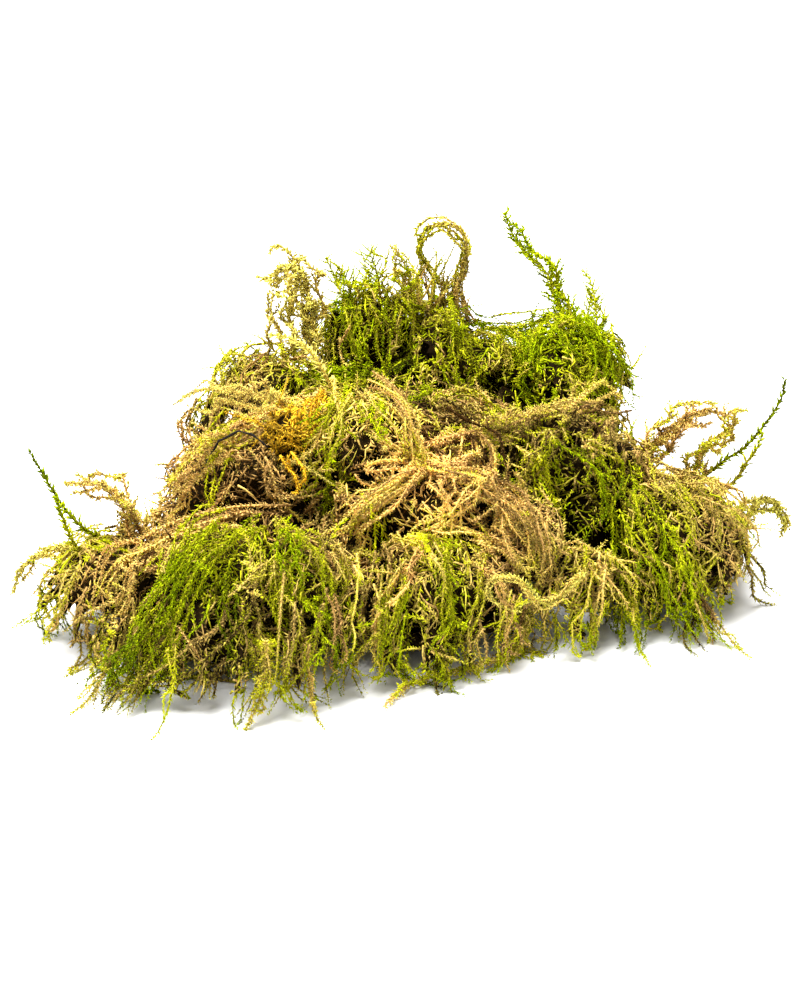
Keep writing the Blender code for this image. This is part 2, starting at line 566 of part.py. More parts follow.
def make_shoot(name, colour, thickness, route, solids):
    """One leafy shoot as a tapered tube of the shoot's outer size, narrow where it leaves the clump."""
    radius = SHOOT_THICKNESS * thickness / 2
    neck = radius * NECK_SHARE
    surface = surface_of_all(solids)
    fine = smooth_line([vec(point) for point in route], LIFT_STEP)
    first, free = free_stretch(fine, radius + GAP, surface)
    if len(free) < 2 * SHOOT_STEP / LIFT_STEP:
        raise ValueError(f"{name} lies in the clump, with no free length")
    count = round(len(free) * LIFT_STEP / SHOOT_STEP)
    line = [free[round(i * (len(free) - 1) / count)] for i in range(count + 1)]
    radii = taper(len(line), radius, radius * 0.55)
    root = None
    for point in reversed(fine[:first]):
        if lift_needed(surface, point, neck + GAP) != 0:
            break
        root = point
    if root is not None:
        line.insert(0, root)
        radii.insert(0, neck)
    bm = bmesh.new()
    add_tube(bm, line, radii, SHOOT_SIDES)
    bmesh.ops.triangulate(bm, faces=bm.faces)
    shoot = object_from(bm, name)
    paint(shoot, name, colour)
    return shoot


def box_of(thing):
    corners = [vertex.co for vertex in thing.data.vertices]
    low = Vector(min(corner[i] for corner in corners) for i in range(3))
    high = Vector(max(corner[i] for corner in corners) for i in range(3))
    return low, high


def near(one, other, gap):
    """Whether two pieces' boxes come closer than the gap."""
    (low_a, high_a), (low_b, high_b) = box_of(one), box_of(other)
    return all(low_a[i] - gap < high_b[i] and low_b[i] - gap < high_a[i] for i in range(3))


def part_from(piece, neighbours):
    """Cuts a piece by its neighbours, a gap apart, where it comes closer to them."""
    for neighbour in neighbours:
        if not near(piece, neighbour, GAP):
            continue
        for gap in (GAP, 1.5 * GAP, 2 * GAP):
            cutter = grown(neighbour, gap)
            blocked = surface_of(piece).overlap(surface_of(cutter if gap == GAP else neighbour))
            if blocked:
                keep_largest(cut(piece, cutter))
            else:
                bpy.data.objects.remove(cutter, do_unlink=True)
                break


def main():
    clear_scene()
    bed = make_bed_skin()
    tufts = []
    for seed, (name, spec) in enumerate(TUFTS.items(), 2):
        tuft = make_tuft(name, *spec, bed, seed)
        part_from(tuft, tufts)
        tufts.append(tuft)
    finish_bed(bed, tufts)
    part_from(bed, tufts)
    solids = [*tufts, bed]
    for name, spec in SHOOTS.items():
        solids.append(make_shoot(name, *spec, solids))


main()
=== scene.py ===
"""A loose clump of dried sheet moss, grown shoot by shoot over the clump's solids.

Every shoot is a thin stem with small pointed leaves all round it. Matted ropes of such shoots creep over the
old growth and the tufts, along streams that say which way the moss lies, and hang free past a rim. Single
shoots follow their own routes. Lengths in the tables are millimetres, and everything is built in metres.
"""
import math
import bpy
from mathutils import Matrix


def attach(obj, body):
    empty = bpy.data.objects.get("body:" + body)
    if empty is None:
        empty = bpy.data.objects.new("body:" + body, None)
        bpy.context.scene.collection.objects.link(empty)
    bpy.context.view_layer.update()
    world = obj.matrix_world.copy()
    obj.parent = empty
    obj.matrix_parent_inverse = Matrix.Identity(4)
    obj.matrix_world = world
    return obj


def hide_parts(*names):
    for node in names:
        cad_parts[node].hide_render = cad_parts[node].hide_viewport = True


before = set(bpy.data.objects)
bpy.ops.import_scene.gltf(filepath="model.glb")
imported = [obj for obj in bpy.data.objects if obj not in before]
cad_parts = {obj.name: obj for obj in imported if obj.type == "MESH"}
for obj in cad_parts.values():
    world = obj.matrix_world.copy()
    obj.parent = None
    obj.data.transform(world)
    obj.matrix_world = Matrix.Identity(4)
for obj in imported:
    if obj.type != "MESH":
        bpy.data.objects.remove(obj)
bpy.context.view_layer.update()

import zlib
from collections import namedtuple

import bpy
import numpy as np
from bpy.props import FloatProperty, FloatVectorProperty, PointerProperty
from mathutils import Vector, noise
from mathutils.bvhtree import BVHTree

bl_info = {
    "name": "Moss clump",
    "version": (1, 0, 0),
    "blender": (4, 5, 0),
    "location": "3D View > Sidebar > Moss",
    "description": "Grows a loose clump of dried sheet moss over its solids",
    "category": "Add Mesh",
}

MM = 0.001
BODY = "root"
UP = Vector((0, 0, 1))
GOLDEN_ANGLE = 2.39996
STEP = 2.4 * MM                  # length of one straight stretch of a stem
FLOOR_CLEARANCE = 0.04 * MM
UNDERSIDE = -0.5                 # how far down a face of the underside looks
FRONT = -28 * MM                 # where the moss at the front ends
REAR = 12 * MM                   # where the moss behind the crest begins
REAR_SHADE = 0.30                # how much darker it is there
REAR_YOUTH = 0.12                # how much younger it is there
LOW = 18 * MM                    # height below which moss is painted darker, as shade
LOW_PAINTED_SHADE = 0.75                 # painted shade: how much darker it is painted at the floor
YOUNGEST, OLDEST = 0.03, 0.9     # ages of the streams' ropes stay between these
LIVING = 0.42                    # ropes younger than this have living leaves
LIVING_SHOOT = 0.5               # and single shoots younger than this

TUFTS = ("front_left_tuft", "front_middle_tuft", "straw_mound", "inner_right_tuft", "right_tuft",
         "lower_right_tuft", "rear_right_tuft", "rear_middle_tuft", "rear_left_tuft", "left_shoulder_tuft",
         "frond_tuft", "golden_tuft", "left_wing_tuft")

# Streams the moss lies along: its age there, from 0 living green to 1 brown, how many ropes are laid along it
# on top of the mat, and its places from root to tip
STREAMS = (
    (0.63, 15, (13, -28, 33), (5, -22, 31), (0, -29, 31), (-6, -34, 29), (-10, -32, 25), (-15, -32, 21)),
    (0.66, 9, (7, -14, 35), (12, -8, 34), (15, -15, 34), (15, -19, 31), (11, -28, 33), (5, -23, 32)),
    (0.56, 0, (48, 32, 25), (42, 29, 29), (39, 23, 28)),
    (0.56, 0, (21, 1, 31), (15, -5, 33), (12, -10, 33)),
    (0.63, 13, (8, -30, 33), (13, -30, 31), (20, -28, 27), (23, -34, 26), (26, -36, 21), (26, -38, 16)),
    (0.62, 7, (15, -32, 24), (17, -33, 20), (20, -43, 21), (23, -37, 14)),
    (0.44, 5, (-2, -34, 22), (4, -38, 23), (8, -41, 22), (10, -50, 20)),
    (0.28, 6, (7, -42, 21), (9, -50, 19), (9, -53, 14), (6, -59, 9)),
    (0.34, 5, (2, -47, 22), (1, -52, 18), (-2, -56, 14), (-4, -60, 8)),
    (0.24, 0, (27, -12, 36), (23, -12, 32), (20, -15, 28)),
    (0.27, 4, (27, -12, 36), (33, -14, 34), (39, -18, 30), (41, -20, 23), (40, -25, 21)),
    (0.25, 0, (25, -17, 31), (29, -18, 28), (32, -20, 25)),
    (0.38, 7, (-13, -6, 44), (-14, -14, 43), (-15, -20, 38), (-17, -24, 33)),
    (0.42, 5, (-17, -4, 42), (-20, -9, 40), (-21, -16, 36)),
    (0.60, 0, (-13, 6, 37), (-8, 3, 38)),
    (0.58, 6, (-10, -6, 44), (-5, -12, 44), (-1, -18, 41), (3, -24, 35)),
    (0.62, 0, (-1, -13, 41), (3, -9, 38), (4, -13, 36)),
    (0.60, 0, (-23, -17, 33), (-16, -18, 32), (-10, -22, 35), (-3, -22, 39)),
    (0.64, 4, (-12, -23, 34), (-6, -29, 35), (1, -23, 32)),
    (0.72, 0, (-23, -23, 20), (-19, -22, 20), (-14, -31, 26), (-9, -31, 29), (-4, -31, 33)),
    (0.68, 0, (-10, -53, 20), (-13, -60, 19)),
    (0.70, 0, (28, -33, 23), (33, -35, 22), (37, -36, 18), (41, -38, 15)),
    (0.25, 0, (28, -36, 20), (33, -33, 17), (36, -38, 18)),
    (0.70, 0, (-57, -33, 19), (-61, -40, 20), (-64, -43, 16)),
    (0.64, 0, (-49, -51, 24), (-56, -46, 20), (-61, -44, 17), (-63, -47, 13), (-63, -51, 9), (-64, -53, 4)),
    (0.20, 0, (-35, -45, 27), (-41, -54, 27), (-46, -53, 21), (-48, -55, 15)),
    (0.30, 0, (-25, -49, 27), (-21, -57, 26), (-17, -57, 20)),
    (0.24, 0, (-37, -55, 24), (-42, -61, 20), (-47, -56, 13)),
    (0.27, 0, (-48, -55, 17), (-53, -62, 15), (-57, -53, 3), (-60, -59, 4)),
    (0.30, 0, (-47, -56, 13), (-51, -57, 7), (-53, -66, 7), (-60, -59, 4)),
    (0.60, 0, (-53, -49, 18), (-56, -47, 13), (-58, -50, 8), (-58, -52, 3), (-64, -53, 3)),
    (0.40, 0, (-63, -48, 12), (-63, -51, 5), (-61, -59, 5)),
    (0.50, 0, (-32, -64, 19), (-39, -59, 9), (-45, -66, 9), (-53, -67, 6), (-60, -59, 4)),
    (0.62, 0, (-30, -55, 3), (-37, -56, 2)),
    (0.62, 0, (-46, -68, 8), (-53, -65, 8)),
    (0.42, 0, (-33, -64, 19), (-30, -54, 11), (-28, -57, 7), (-30, -54, 1)),
    (0.42, 0, (-26, -56, 12), (-25, -69, 12), (-22, -69, 7)),
    (0.46, 0, (-18, -52, 10), (-21, -67, 11), (-22, -69, 6)),
    (0.52, 0, (-14, -59, 19), (-17, -51, 8)),
    (0.52, 0, (-21, -68, 9), (-22, -69, 6)),
    (0.14, 0, (-18, -51, 5), (-14, -65, 10)),
    (0.40, 0, (-3, -49, 20), (-5, -54, 15), (-5, -58, 10), (-6, -60, 4)),
    (0.36, 0, (-2, -54, 15), (-3, -59, 10), (-6, -60, 4)),
    (0.60, 0, (-13, -31, 21), (-5, -35, 25)),
    (0.70, 0, (-53, -13, 21), (-48, -10, 26), (-43, -8, 30)),
    (0.78, 0, (-32, -16, 34), (-37, -21, 32), (-41, -21, 26), (-44, -24, 23)),
    (0.66, 0, (-45, -25, 22), (-51, -18, 20), (-54, -16, 19)),
    (0.68, 0, (-51, -26, 17), (-58, -36, 20), (-63, -42, 18), (-64, -45, 13)),
    (0.36, 0, (-63, -30, 21), (-68, -34, 20), (-74, -35, 16)),
    (0.28, 0, (-68, -36, 19), (-65, -42, 18), (-64, -44, 14)),
    (0.50, 0, (-56, -50, 16), (-58, -54, 14), (-61, -58, 7), (-61, -59, 4)),
    (0.52, 0, (-29, 29, 37), (-35, 33, 36), (-38, 23, 35)),
    (0.58, 2, (-12, 35, 40), (-15, 37, 36), (-13, 26, 33)),
    (0.55, 0, (-4, 37, 40), (-2, 34, 36), (-5, 36, 35)),
    (0.36, 0, (3, 31, 39), (10, 32, 40), (15, 30, 36), (19, 30, 29)),
    (0.45, 0, (-1, 36, 40), (6, 35, 42), (12, 42, 39)),
    (0.20, 0, (19, 38, 38), (33, 43, 39), (42, 39, 39), (47, 33, 34)),
    (0.30, 0, (21, 29, 35), (28, 37, 35), (36, 28, 36)),
    (0.24, 0, (25, 25, 27), (31, 24, 32), (40, 28, 30)),
    (0.76, 0, (9, 23, 32), (14, 18, 31), (18, 5, 33)),
    (0.74, 0, (8, 24, 30), (15, 24, 29)),
    (0.74, 0, (47, 33, 34), (42, 29, 30), (40, 23, 26)),
    (0.72, 0, (48, 34, 28), (48, 31, 20)),
    (0.76, 0, (39, -7, 37), (40, -16, 32)),
    (0.60, 0, (47, -12, 27), (54, -9, 24), (60, -9, 24), (63, -15, 24), (64, -20, 23)),
    (0.22, 0, (47, -16, 25), (50, -28, 22), (53, -30, 16), (55, -30, 12), (56, -39, 10)),
    (0.20, 0, (46, -29, 20), (49, -33, 16), (53, -34, 10), (58, -27, 0)),
    (0.56, 0, (49, -18, 25), (56, -24, 25), (62, -23, 22), (64, -28, 20), (63, -31, 12), (61, -29, 3)),
    (0.60, 0, (51, -28, 22), (54, -31, 17), (57, -37, 13), (61, -28, 2)),
    (0.45, 0, (63, -28, 19), (67, -31, 12), (67, -26, 3), (64, -24, 1)),
    (0.50, 0, (47, -34, 6), (55, -27, 0), (61, -27, 1)),
    (0.25, 0, (63, -19, 23), (67, -19, 24), (68, -12, 23)),
    (0.72, 0, (32, -36, 15), (35, -41, 15), (38, -41, 9), (41, -41, 12)),
    (0.58, 0, (40, -35, 16), (45, -32, 9)),
    (0.16, 0, (42, -39, 14), (41, -43, 7)),
    (0.16, 0, (40, -41, 10), (35, -45, 8)),
    (0.78, 0, (-36, -24, 33), (-39, -20, 28), (-44, -23, 24)),
    (0.66, 0, (-38, 20, 30), (-43, 17, 21)),
    (0.70, 0, (-30, -17, 36), (-31, -24, 32), (-32, -26, 27)),
    (0.56, 4, (46, 3, 37), (38, -5, 38), (30, -9, 37), (22, -12, 36), (12, -12, 34)),
    (0.72, 9, (-26, -32, 27), (-36, -36, 28), (-46, -38, 26), (-54, -38, 22), (-60, -40, 20), (-64, -45, 13)),
    (0.22, 9, (-35, -45, 27), (-43, -54, 25), (-50, -60, 17), (-57, -64, 9), (-62, -66, 3)),
    (0.26, 6, (-30, -42, 28), (-38, -52, 28), (-44, -60, 20), (-48, -66, 12), (-53, -71, 3)),
    (0.45, 4, (-34, -62, 20), (-32, -67, 15), (-30, -72, 8), (-34, -76, 3)),
    (0.42, 4, (-26, -56, 23), (-25, -66, 17), (-25, -71, 9), (-28, -75, 3)),
    (0.46, 3, (-16, -58, 20), (-19, -66, 13), (-24, -71, 4)),
    (0.52, 4, (-12, -50, 23), (-16, -60, 19), (-20, -68, 11), (-19, -74, 3)),
    (0.14, 4, (-16, -56, 19), (-13, -64, 13), (-12, -68, 4)),
    (0.42, 4, (-3, -47, 22), (-5, -56, 17), (-5, -61, 10), (-7, -65, 2)),
    (0.22, 8, (47, -16, 25), (50, -28, 22), (54, -34, 15), (57, -39, 8), (59, -43, 3)),
    (0.50, 5, (-30, -60, 22), (-40, -66, 15), (-50, -70, 8), (-60, -68, 3)),
    (0.45, 6, (-56, -56, 12), (-59, -63, 6), (-62, -70, 1.5)),
    (0.50, 6, (-50, -60, 12), (-54, -67, 6), (-57, -73, 1.5)),
    (0.42, 5, (-44, -64, 12), (-48, -70, 6), (-51, -75, 1.5)),
    (0.36, 4, (-60, -52, 11), (-64, -59, 5), (-68, -64, 1.5)),
    (0.55, 4, (-53, -58, 12), (-57, -66, 5), (-60, -72, 1.5)),
    (0.55, 3, (-36, -66, 10), (-40, -68, 5), (-43, -70, 1.5)),
    (0.50, 3, (-8, -58, 12), (-10, -63, 6), (-10, -66, 1.5)),
    (0.40, 3, (0, -56, 13), (-1, -61, 7), (-2, -66, 1.5)),
    (0.45, 3, (6, -54, 12), (7, -59, 6), (6, -63, 1.5)),
    (0.50, 3, (14, -50, 12), (15, -56, 5), (14, -59, 1.5)),
    (0.48, 5, (-12, -50, 14), (-13, -58, 7), (-15, -64, 1.5)),
    (0.40, 4, (4, -48, 14), (4, -55, 7), (4, -60, 1.5)),
    (0.26, 5, (43, -30, 14), (44, -37, 7), (44, -42, 1.5)),
    (0.24, 5, (50, -30, 13), (51, -37, 6), (51, -41, 1.5)),
    (0.34, 4, (57, -28, 12), (58, -35, 6), (58, -41, 1.5)),
    (0.28, 10, (15, 44, 37), (21, 45, 36.5), (28, 45, 37), (36, 46, 40)),
    (0.50, 6, (14, 45, 37), (18, 42, 36), (21, 36, 34), (22, 30, 31)),
    (0.26, 6, (25, 45, 37), (26, 42, 36), (27, 36, 34), (27, 30, 31)),
    (0.45, 5, (5, 45, 42), (6, 46, 50), (8, 46, 56)),
    (0.30, 3, (36, -40, 10), (37, -45, 5), (38, -48, 1.5)),
    (0.35, 3, (30, -42, 9), (31, -46, 4), (31, -49, 1.5)),
    (0.30, 3, (48, -38, 8), (49, -43, 4), (48, -46, 1.5)),
    (0.45, 3, (58, -38, 7), (60, -42, 4), (62, -46, 1.5)),
    (0.66, 12, (8, 43, 36), (8, 44, 42), (9, 46, 50)),
    (0.56, 12, (2, 43, 36), (3, 45, 43), (3, 47, 52)),
    (0.60, 10, (12, 43, 36), (12, 44, 41), (12, 46, 48)),
    (0.50, 8, (-2, 43, 38), (-1, 44, 43), (0, 45, 50)),
    (0.26, 6, (-12, 46, 46), (-12, 38, 42), (-12, 30, 35)),
    (0.30, 5, (-4, 46, 45), (-5, 38, 41), (-6, 30, 35)),
    (0.24, 6, (34, 46, 40), (30, 38, 38), (27, 28, 32)),
    (0.24, 5, (42, 44, 38), (44, 36, 36), (46, 28, 30)),
    (0.34, 4, (10, 46, 44), (9, 38, 42), (8, 28, 35)),
    (0.30, 0, (-10, 30, 36), (0, 26, 34), (10, 22, 32)),
    (0.34, 0, (-22, 22, 35), (-10, 16, 35), (0, 10, 35)),
    (0.34, 0, (20, 15, 32), (28, 12, 31), (36, 8, 30)),
)

# Holes between the ropes, painted dark as shade: middle and radius
HOLLOWS = (
    ((-16, -19, 27), 3.36), ((-33, -27, 29), 3.2), ((-40, -65, 17), 3.52), ((-23, -64, 19), 3.84),
    ((-9, -55, 18), 3.68), ((27, -25, 25), 1.92), ((43, -16, 29), 2.72), ((-6, -32, 18), 2.08),
    ((5, 32, 38), 2.56), ((31, -31, 27), 2.24), ((-56, -50, 15), 2.08), ((-34, -23, 22), 1.92),
    ((-30, -62, 23), 2.08), ((-32, -67, 13), 2.56),
)

# Patches lighter or darker than the rest: middle, radius and how much
PATCHES = (
    ((4, -24, 33), 17, 1.3), ((-14, -8, 44), 11, 0.3), ((36, -4, 38), 14, -0.8), ((4, -3, 38), 12, -0.85),
    ((-62, -34, 20), 14, 0.3), ((70, -4, 22), 16, 0.25), ((62, -22, 14), 12, 0.05), ((-40, -20, 28), 14, 0.8),
    ((-20, -10, 38), 7, 0.3), ((-36, -50, 24), 18, -0.05), ((-46, -62, 10), 15, -0.4),
    ((34, 42, 38), 18, 0.3), ((8, 38, 40), 22, -0.2),
)

# Routes of the single shoots, root to tip
SHOOT_ROUTES = {
    "left_long_shoot": [(-62, -28, 15), (-65, -29, 19), (-68, -31, 22), (-72, -33, 28), (-76, -35, 37),
        (-78, -36, 42)],
    "left_side_shoot": [(-66, -32, 14), (-70, -34, 20), (-72, -36, 27), (-73, -38, 33)],
    "right_long_shoot": [(64, 8, 15), (70, 7, 21), (74, 5, 25), (78, 4, 31), (81, 3, 37), (81.5, 2, 42)],
    "right_side_shoot": [(67, 2, 14), (72, 3, 18), (74, 1, 23), (76, 0, 27), (77, -1, 31)],
    "rear_tall_shoot": [(39, 44, 30), (37, 47, 37), (34, 49, 42), (32, 50, 48), (27, 51, 53), (23.5, 52, 58),
        (22, 52, 62.5)],
    "rear_feather_shoot": [(43, 40, 32), (43, 43, 40), (42, 46, 47), (40, 48, 50)],
    "rear_ring_shoot": [(10, 45, 38), (10.5, 46, 45), (12, 46, 50), (13, 46, 55), (11.5, 46, 59),
        (7.5, 46.5, 61), (3.5, 48, 59), (2.5, 49, 55), (3.5, 49, 50), (6.5, 48, 46.5), (10, 47, 48),
        (11.5, 46.5, 52)],
    "rear_inner_shoot": [(3, 43, 38), (1, 42, 45), (0, 42, 51), (-2, 42, 56), (-4, 42, 58)],
    "rear_feathery_shoot": [(-12, 44, 42), (-14, 44, 49), (-17, 44, 53.5)],
    "rear_upright_shoot": [(-6, 44, 42), (-7, 45, 50), (-9, 46, 56)],
    "rear_left_curl": [(-24, 34, 33), (-23, 38, 43), (-23, 39, 50), (-25, 40, 54), (-28, 39, 53.5),
        (-31, 38, 52), (-34, 37, 52.5)],
    "rear_low_curl": [(-28, 30, 33), (-29, 34, 40), (-31, 35, 45), (-30, 35, 49), (-27.5, 35, 50)],
    "feather_arch": [(-15, -3, 37), (-17, -4, 44), (-20, -7, 51), (-23, -10, 55.5), (-26, -12, 58),
        (-29, -14, 59)],
    "upper_left_arch": [(-23, -4, 36), (-28, -8, 42), (-36, -12, 45), (-42, -13, 46.5), (-46, -14, 46),
        (-50, -15, 43.5)],
    "left_hanging_strand": [(-39, -10, 27), (-43, -12, 32), (-48, -14, 35.5), (-49, -14.5, 39),
        (-46, -15, 42)],
    "left_bridge_strand": [(-36, -12, 27), (-41, -16, 34), (-45, -21, 32), (-49, -25, 30), (-54, -27, 28)],
    "left_wing_strand": [(-55, -30, 16), (-58, -29, 24), (-61, -28, 29), (-65, -28, 31), (-69, -28, 31),
        (-72, -29, 32)],
    "far_left_tip": [(-64, -28, 12), (-72, -29, 17), (-78, -30, 16), (-82, -31, 12), (-83.5, -33, 8)],
    "far_right_tip": [(72, -2, 8), (77, 1, 13), (81, 1, 13), (83.5, 0, 9.5), (82, -1, 6)],
    "right_wing_strand": [(50, 2, 18), (54, 4, 26), (58, 4, 30), (62, 4, 33), (66, 4, 34), (70, 3, 33)],
    "right_curl": [(62, 3, 15), (65, 5, 25), (69, 5, 28), (71.5, 4.5, 31), (71, 4, 34), (74, 3, 34.5)],
    "front_left_drip": [(-46, -58, 14), (-47, -66, 13), (-47, -73, 9), (-48, -78, 5), (-49.5, -81, 2),
        (-51, -84, 1.0)],
    "front_drip": [(-22, -58, 12), (-20.5, -66, 11), (-20, -71, 6), (-19, -75, 2.5), (-17, -79, 1.0)],
    "front_fork": [(-30, -60, 12), (-29, -68, 13), (-29, -73, 8), (-31, -76, 3), (-32, -78, 1.0)],
    "low_left_trail": [(-58, -46, 4), (-60, -54, 5), (-63, -60, 2), (-65, -67, 1.0), (-68, -73, 1.0)],
    "front_trail": [(22, -32, 8), (24, -42, 6), (22, -46, 2), (18, -50, 1.1), (10, -55, 1.1), (2, -59, 1.1),
        (-1, -62, 1.1), (-5, -70, 1.1)],
    "pale_curl": [(38, -30, 10), (36, -40, 16), (31, -47, 14.5), (27, -50, 14.5), (24, -51, 18.5),
        (21, -52, 21.5), (18, -52, 21.5), (16, -52, 18.5), (18, -52, 15.5), (21.5, -52, 14),
        (25, -51.5, 15.5)],
    "hollow_stalk": [(-29, -17, 29), (-24, -24, 34.5), (-20, -28, 34), (-16, -31, 32.5)],
    "crest_strand": [(12, -12, 34), (18, -12, 38.5), (26, -10, 39), (34, -8, 39), (38, -3, 41), (42, 1, 42),
        (45, 2, 39), (47, 3, 36)],
    "right_drip": [(48, -32, 8), (47, -42, 7), (48, -48, 3), (50, -53, 1.0)],
    "right_trail": [(62, -30, 5), (65, -38, 4), (68, -43, 1.5), (71, -49, 1.0)],
    "dark_twig": [(-44, -15, 28), (-40, -19, 37), (-36, -22, 40.5), (-33, -23, 40.5), (-29.5, -24, 38)],
}
BED_AND_TUFTS = ["old_growth", *TUFTS]


class MossLeaves(bpy.types.PropertyGroup):
    """Sizes of the stems and leaves."""
    feathery_length: FloatProperty(name="Feathery leaf", description="Leaf length on a living shoot",
                                   default=1.35 * MM, min=0.0, subtype="DISTANCE", unit="LENGTH")
    feathery_angle: FloatProperty(name="Feathery angle", description="How far living leaves stand off a stem",
                                  default=math.radians(38), subtype="ANGLE", unit="ROTATION")
    feathery_spacing: FloatProperty(name="Feathery spacing", description="Stem length to each living leaf",
                                    default=0.285 * MM, min=0.05 * MM, subtype="DISTANCE", unit="LENGTH")
    hairy_length: FloatProperty(name="Hairy leaf", description="Leaf length on a dried strand",
                                default=1.2 * MM, min=0.0, subtype="DISTANCE", unit="LENGTH")
    hairy_angle: FloatProperty(name="Hairy angle", description="How far dried leaves stand off a stem",
                               default=math.radians(46), subtype="ANGLE", unit="ROTATION")
    hairy_spacing: FloatProperty(name="Hairy spacing", description="Stem length to each dried leaf",
                                 default=0.25 * MM, min=0.05 * MM, subtype="DISTANCE", unit="LENGTH")
    leaf_width: FloatProperty(name="Leaf width", description="Width of a leaf where it is widest",
                              default=0.42 * MM, min=0.0, subtype="DISTANCE", unit="LENGTH")
    stem_radius: FloatProperty(name="Stem radius", description="Radius of a matted stem at its root",
                               default=0.32 * MM, min=0.0, subtype="DISTANCE", unit="LENGTH")
    shoot_radius: FloatProperty(name="Shoot radius", description="Radius of a single shoot at its root",
                                default=0.26 * MM, min=0.0, subtype="DISTANCE", unit="LENGTH")


class MossGrowth(bpy.types.PropertyGroup):
    """How many shoots grow, and how loosely they lie."""
    cover: FloatProperty(name="Cover", description="How many ropes lie over each other",
                         default=1.85, min=0.0)
    sprigs: FloatProperty(name="Sprigs", description="Short shoots to each square centimetre",
                          default=2.3, min=0.0)
    undergrowth: FloatProperty(name="Undergrowth", description="Short leaves to each square millimetre",
                               default=0.9, min=0.0)
    underside: FloatProperty(name="Underside", description="Cover of the underside against that of the top",
                             default=0.10, min=0.0, max=1.0)
    looseness: FloatProperty(name="Looseness", description="How far a rope may stand off what it lies on",
                             default=2.6 * MM, min=0.0, subtype="DISTANCE", unit="LENGTH")
    rope_length: FloatProperty(name="Rope length", description="Length of the longest matted rope",
                               default=40 * MM, min=4 * MM, subtype="DISTANCE", unit="LENGTH")


class MossColours(bpy.types.PropertyGroup):
    """Colours of the moss through its life."""
    deep_green: FloatVectorProperty(name="Deep green", description="Shaded living leaves", subtype="COLOR",
                                    default=(0.110, 0.170, 0.001))
    fresh_green: FloatVectorProperty(name="Fresh green", description="Living leaves", subtype="COLOR",
                                     default=(0.400, 0.520, 0.001))
    lime: FloatVectorProperty(name="Lime", description="Yellowing leaves", subtype="COLOR",
                              default=(0.610, 0.590, 0.012))
    straw: FloatVectorProperty(name="Straw", description="Dried leaves", subtype="COLOR",
                               default=(0.810, 0.590, 0.140))
    tan: FloatVectorProperty(name="Tan", description="Old dried leaves", subtype="COLOR",
                             default=(0.680, 0.410, 0.125))
    # umber is also the colour that the painted shade deep in the clump is mixed towards
    umber: FloatVectorProperty(name="Umber", description="Rotted leaves in the bed", subtype="COLOR",
                               default=(0.055, 0.025, 0.005))
    gold: FloatVectorProperty(name="Gold", description="The golden tuft", subtype="COLOR",
                              default=(0.920, 0.560, 0.030))
    pale: FloatVectorProperty(name="Pale", description="Bleached curls", subtype="COLOR",
                              default=(0.760, 0.690, 0.120))
    twig: FloatVectorProperty(name="Twig", description="The bare twig", subtype="COLOR",
                              default=(0.009, 0.006, 0.004))


class MossStage(bpy.types.PropertyGroup):
    """Floor, light and camera."""
    floor_colour: FloatVectorProperty(name="Floor", description="Colour of the floor", subtype="COLOR",
                                      default=(0.90, 0.90, 0.905))
    sky: FloatProperty(name="Sky", description="Strength of the even light", default=0.60, min=0.0)
    key: FloatProperty(name="Key", description="Power of the main lamp", default=34.0, min=0.0, unit="POWER")
    camera_distance: FloatProperty(name="Camera distance", description="Camera to the clump's middle",
                                   default=0.72, min=0.1, subtype="DISTANCE", unit="LENGTH")
    camera_elevation: FloatProperty(name="Camera elevation", description="Height of the view over the floor",
                                    default=math.radians(25), subtype="ANGLE", unit="ROTATION")
    lens: FloatProperty(name="Lens", description="Focal length in millimetres", default=118.0, min=1.0)


def smooth_line(points, step):
    """Points about a step apart on a smooth curve through the given ones (Catmull-Rom)."""
    points = [np.array(point, float) * MM for point in points]
    ends = [points[0] * 2 - points[1], *points, points[-1] * 2 - points[-2]]
    line = []
    for a, b, c, d in zip(ends, ends[1:], ends[2:], ends[3:]):
        count = max(1, round(float(np.linalg.norm(c - b)) / step))
        for t in np.arange(count) / count:
            line.append(0.5 * (2 * b + (c - a) * t + (2 * a - 5 * b + 4 * c - d) * t**2
                               + (3 * b - a - 3 * c + d) * t**3))
    return np.array([*line, points[-1]])


def unit(vectors):
    return vectors / np.maximum(np.linalg.norm(vectors, axis=-1, keepdims=True), 1e-12)


def softened(line, rounds=2):
    """A line with its kinks eased, and its ends kept."""
    line = np.array(line, float)
    for _ in range(rounds if len(line) > 2 else 0):
        line[1:-1] = 0.25 * line[:-2] + 0.5 * line[1:-1] + 0.25 * line[2:]
    return line


def sky_directions(count, lowest):
    """Directions spread evenly over the sky down to a height."""
    places = np.arange(count) + 0.5
    height = 1 - places / count * (1 - lowest)
    flat, turn = np.sqrt(1 - height**2), places * GOLDEN_ANGLE
    return [Vector(row) for row in np.stack([flat * np.cos(turn), flat * np.sin(turn), height], 1)]


HOLLOW_MIDDLES = np.array([middle for middle, _ in HOLLOWS]) * MM
HOLLOW_RADII = np.array([radius for _, radius in HOLLOWS]) * MM
SKY = sky_directions(14, -0.25)
SKY_REACH = 24 * MM              # moss further off than this hides no sky
WELD = 0.001 * MM                # corners this close are one point
OUTER_REACH = 12 * MM            # how far out the surface over a place is looked for
OUTER_TRIES = 3


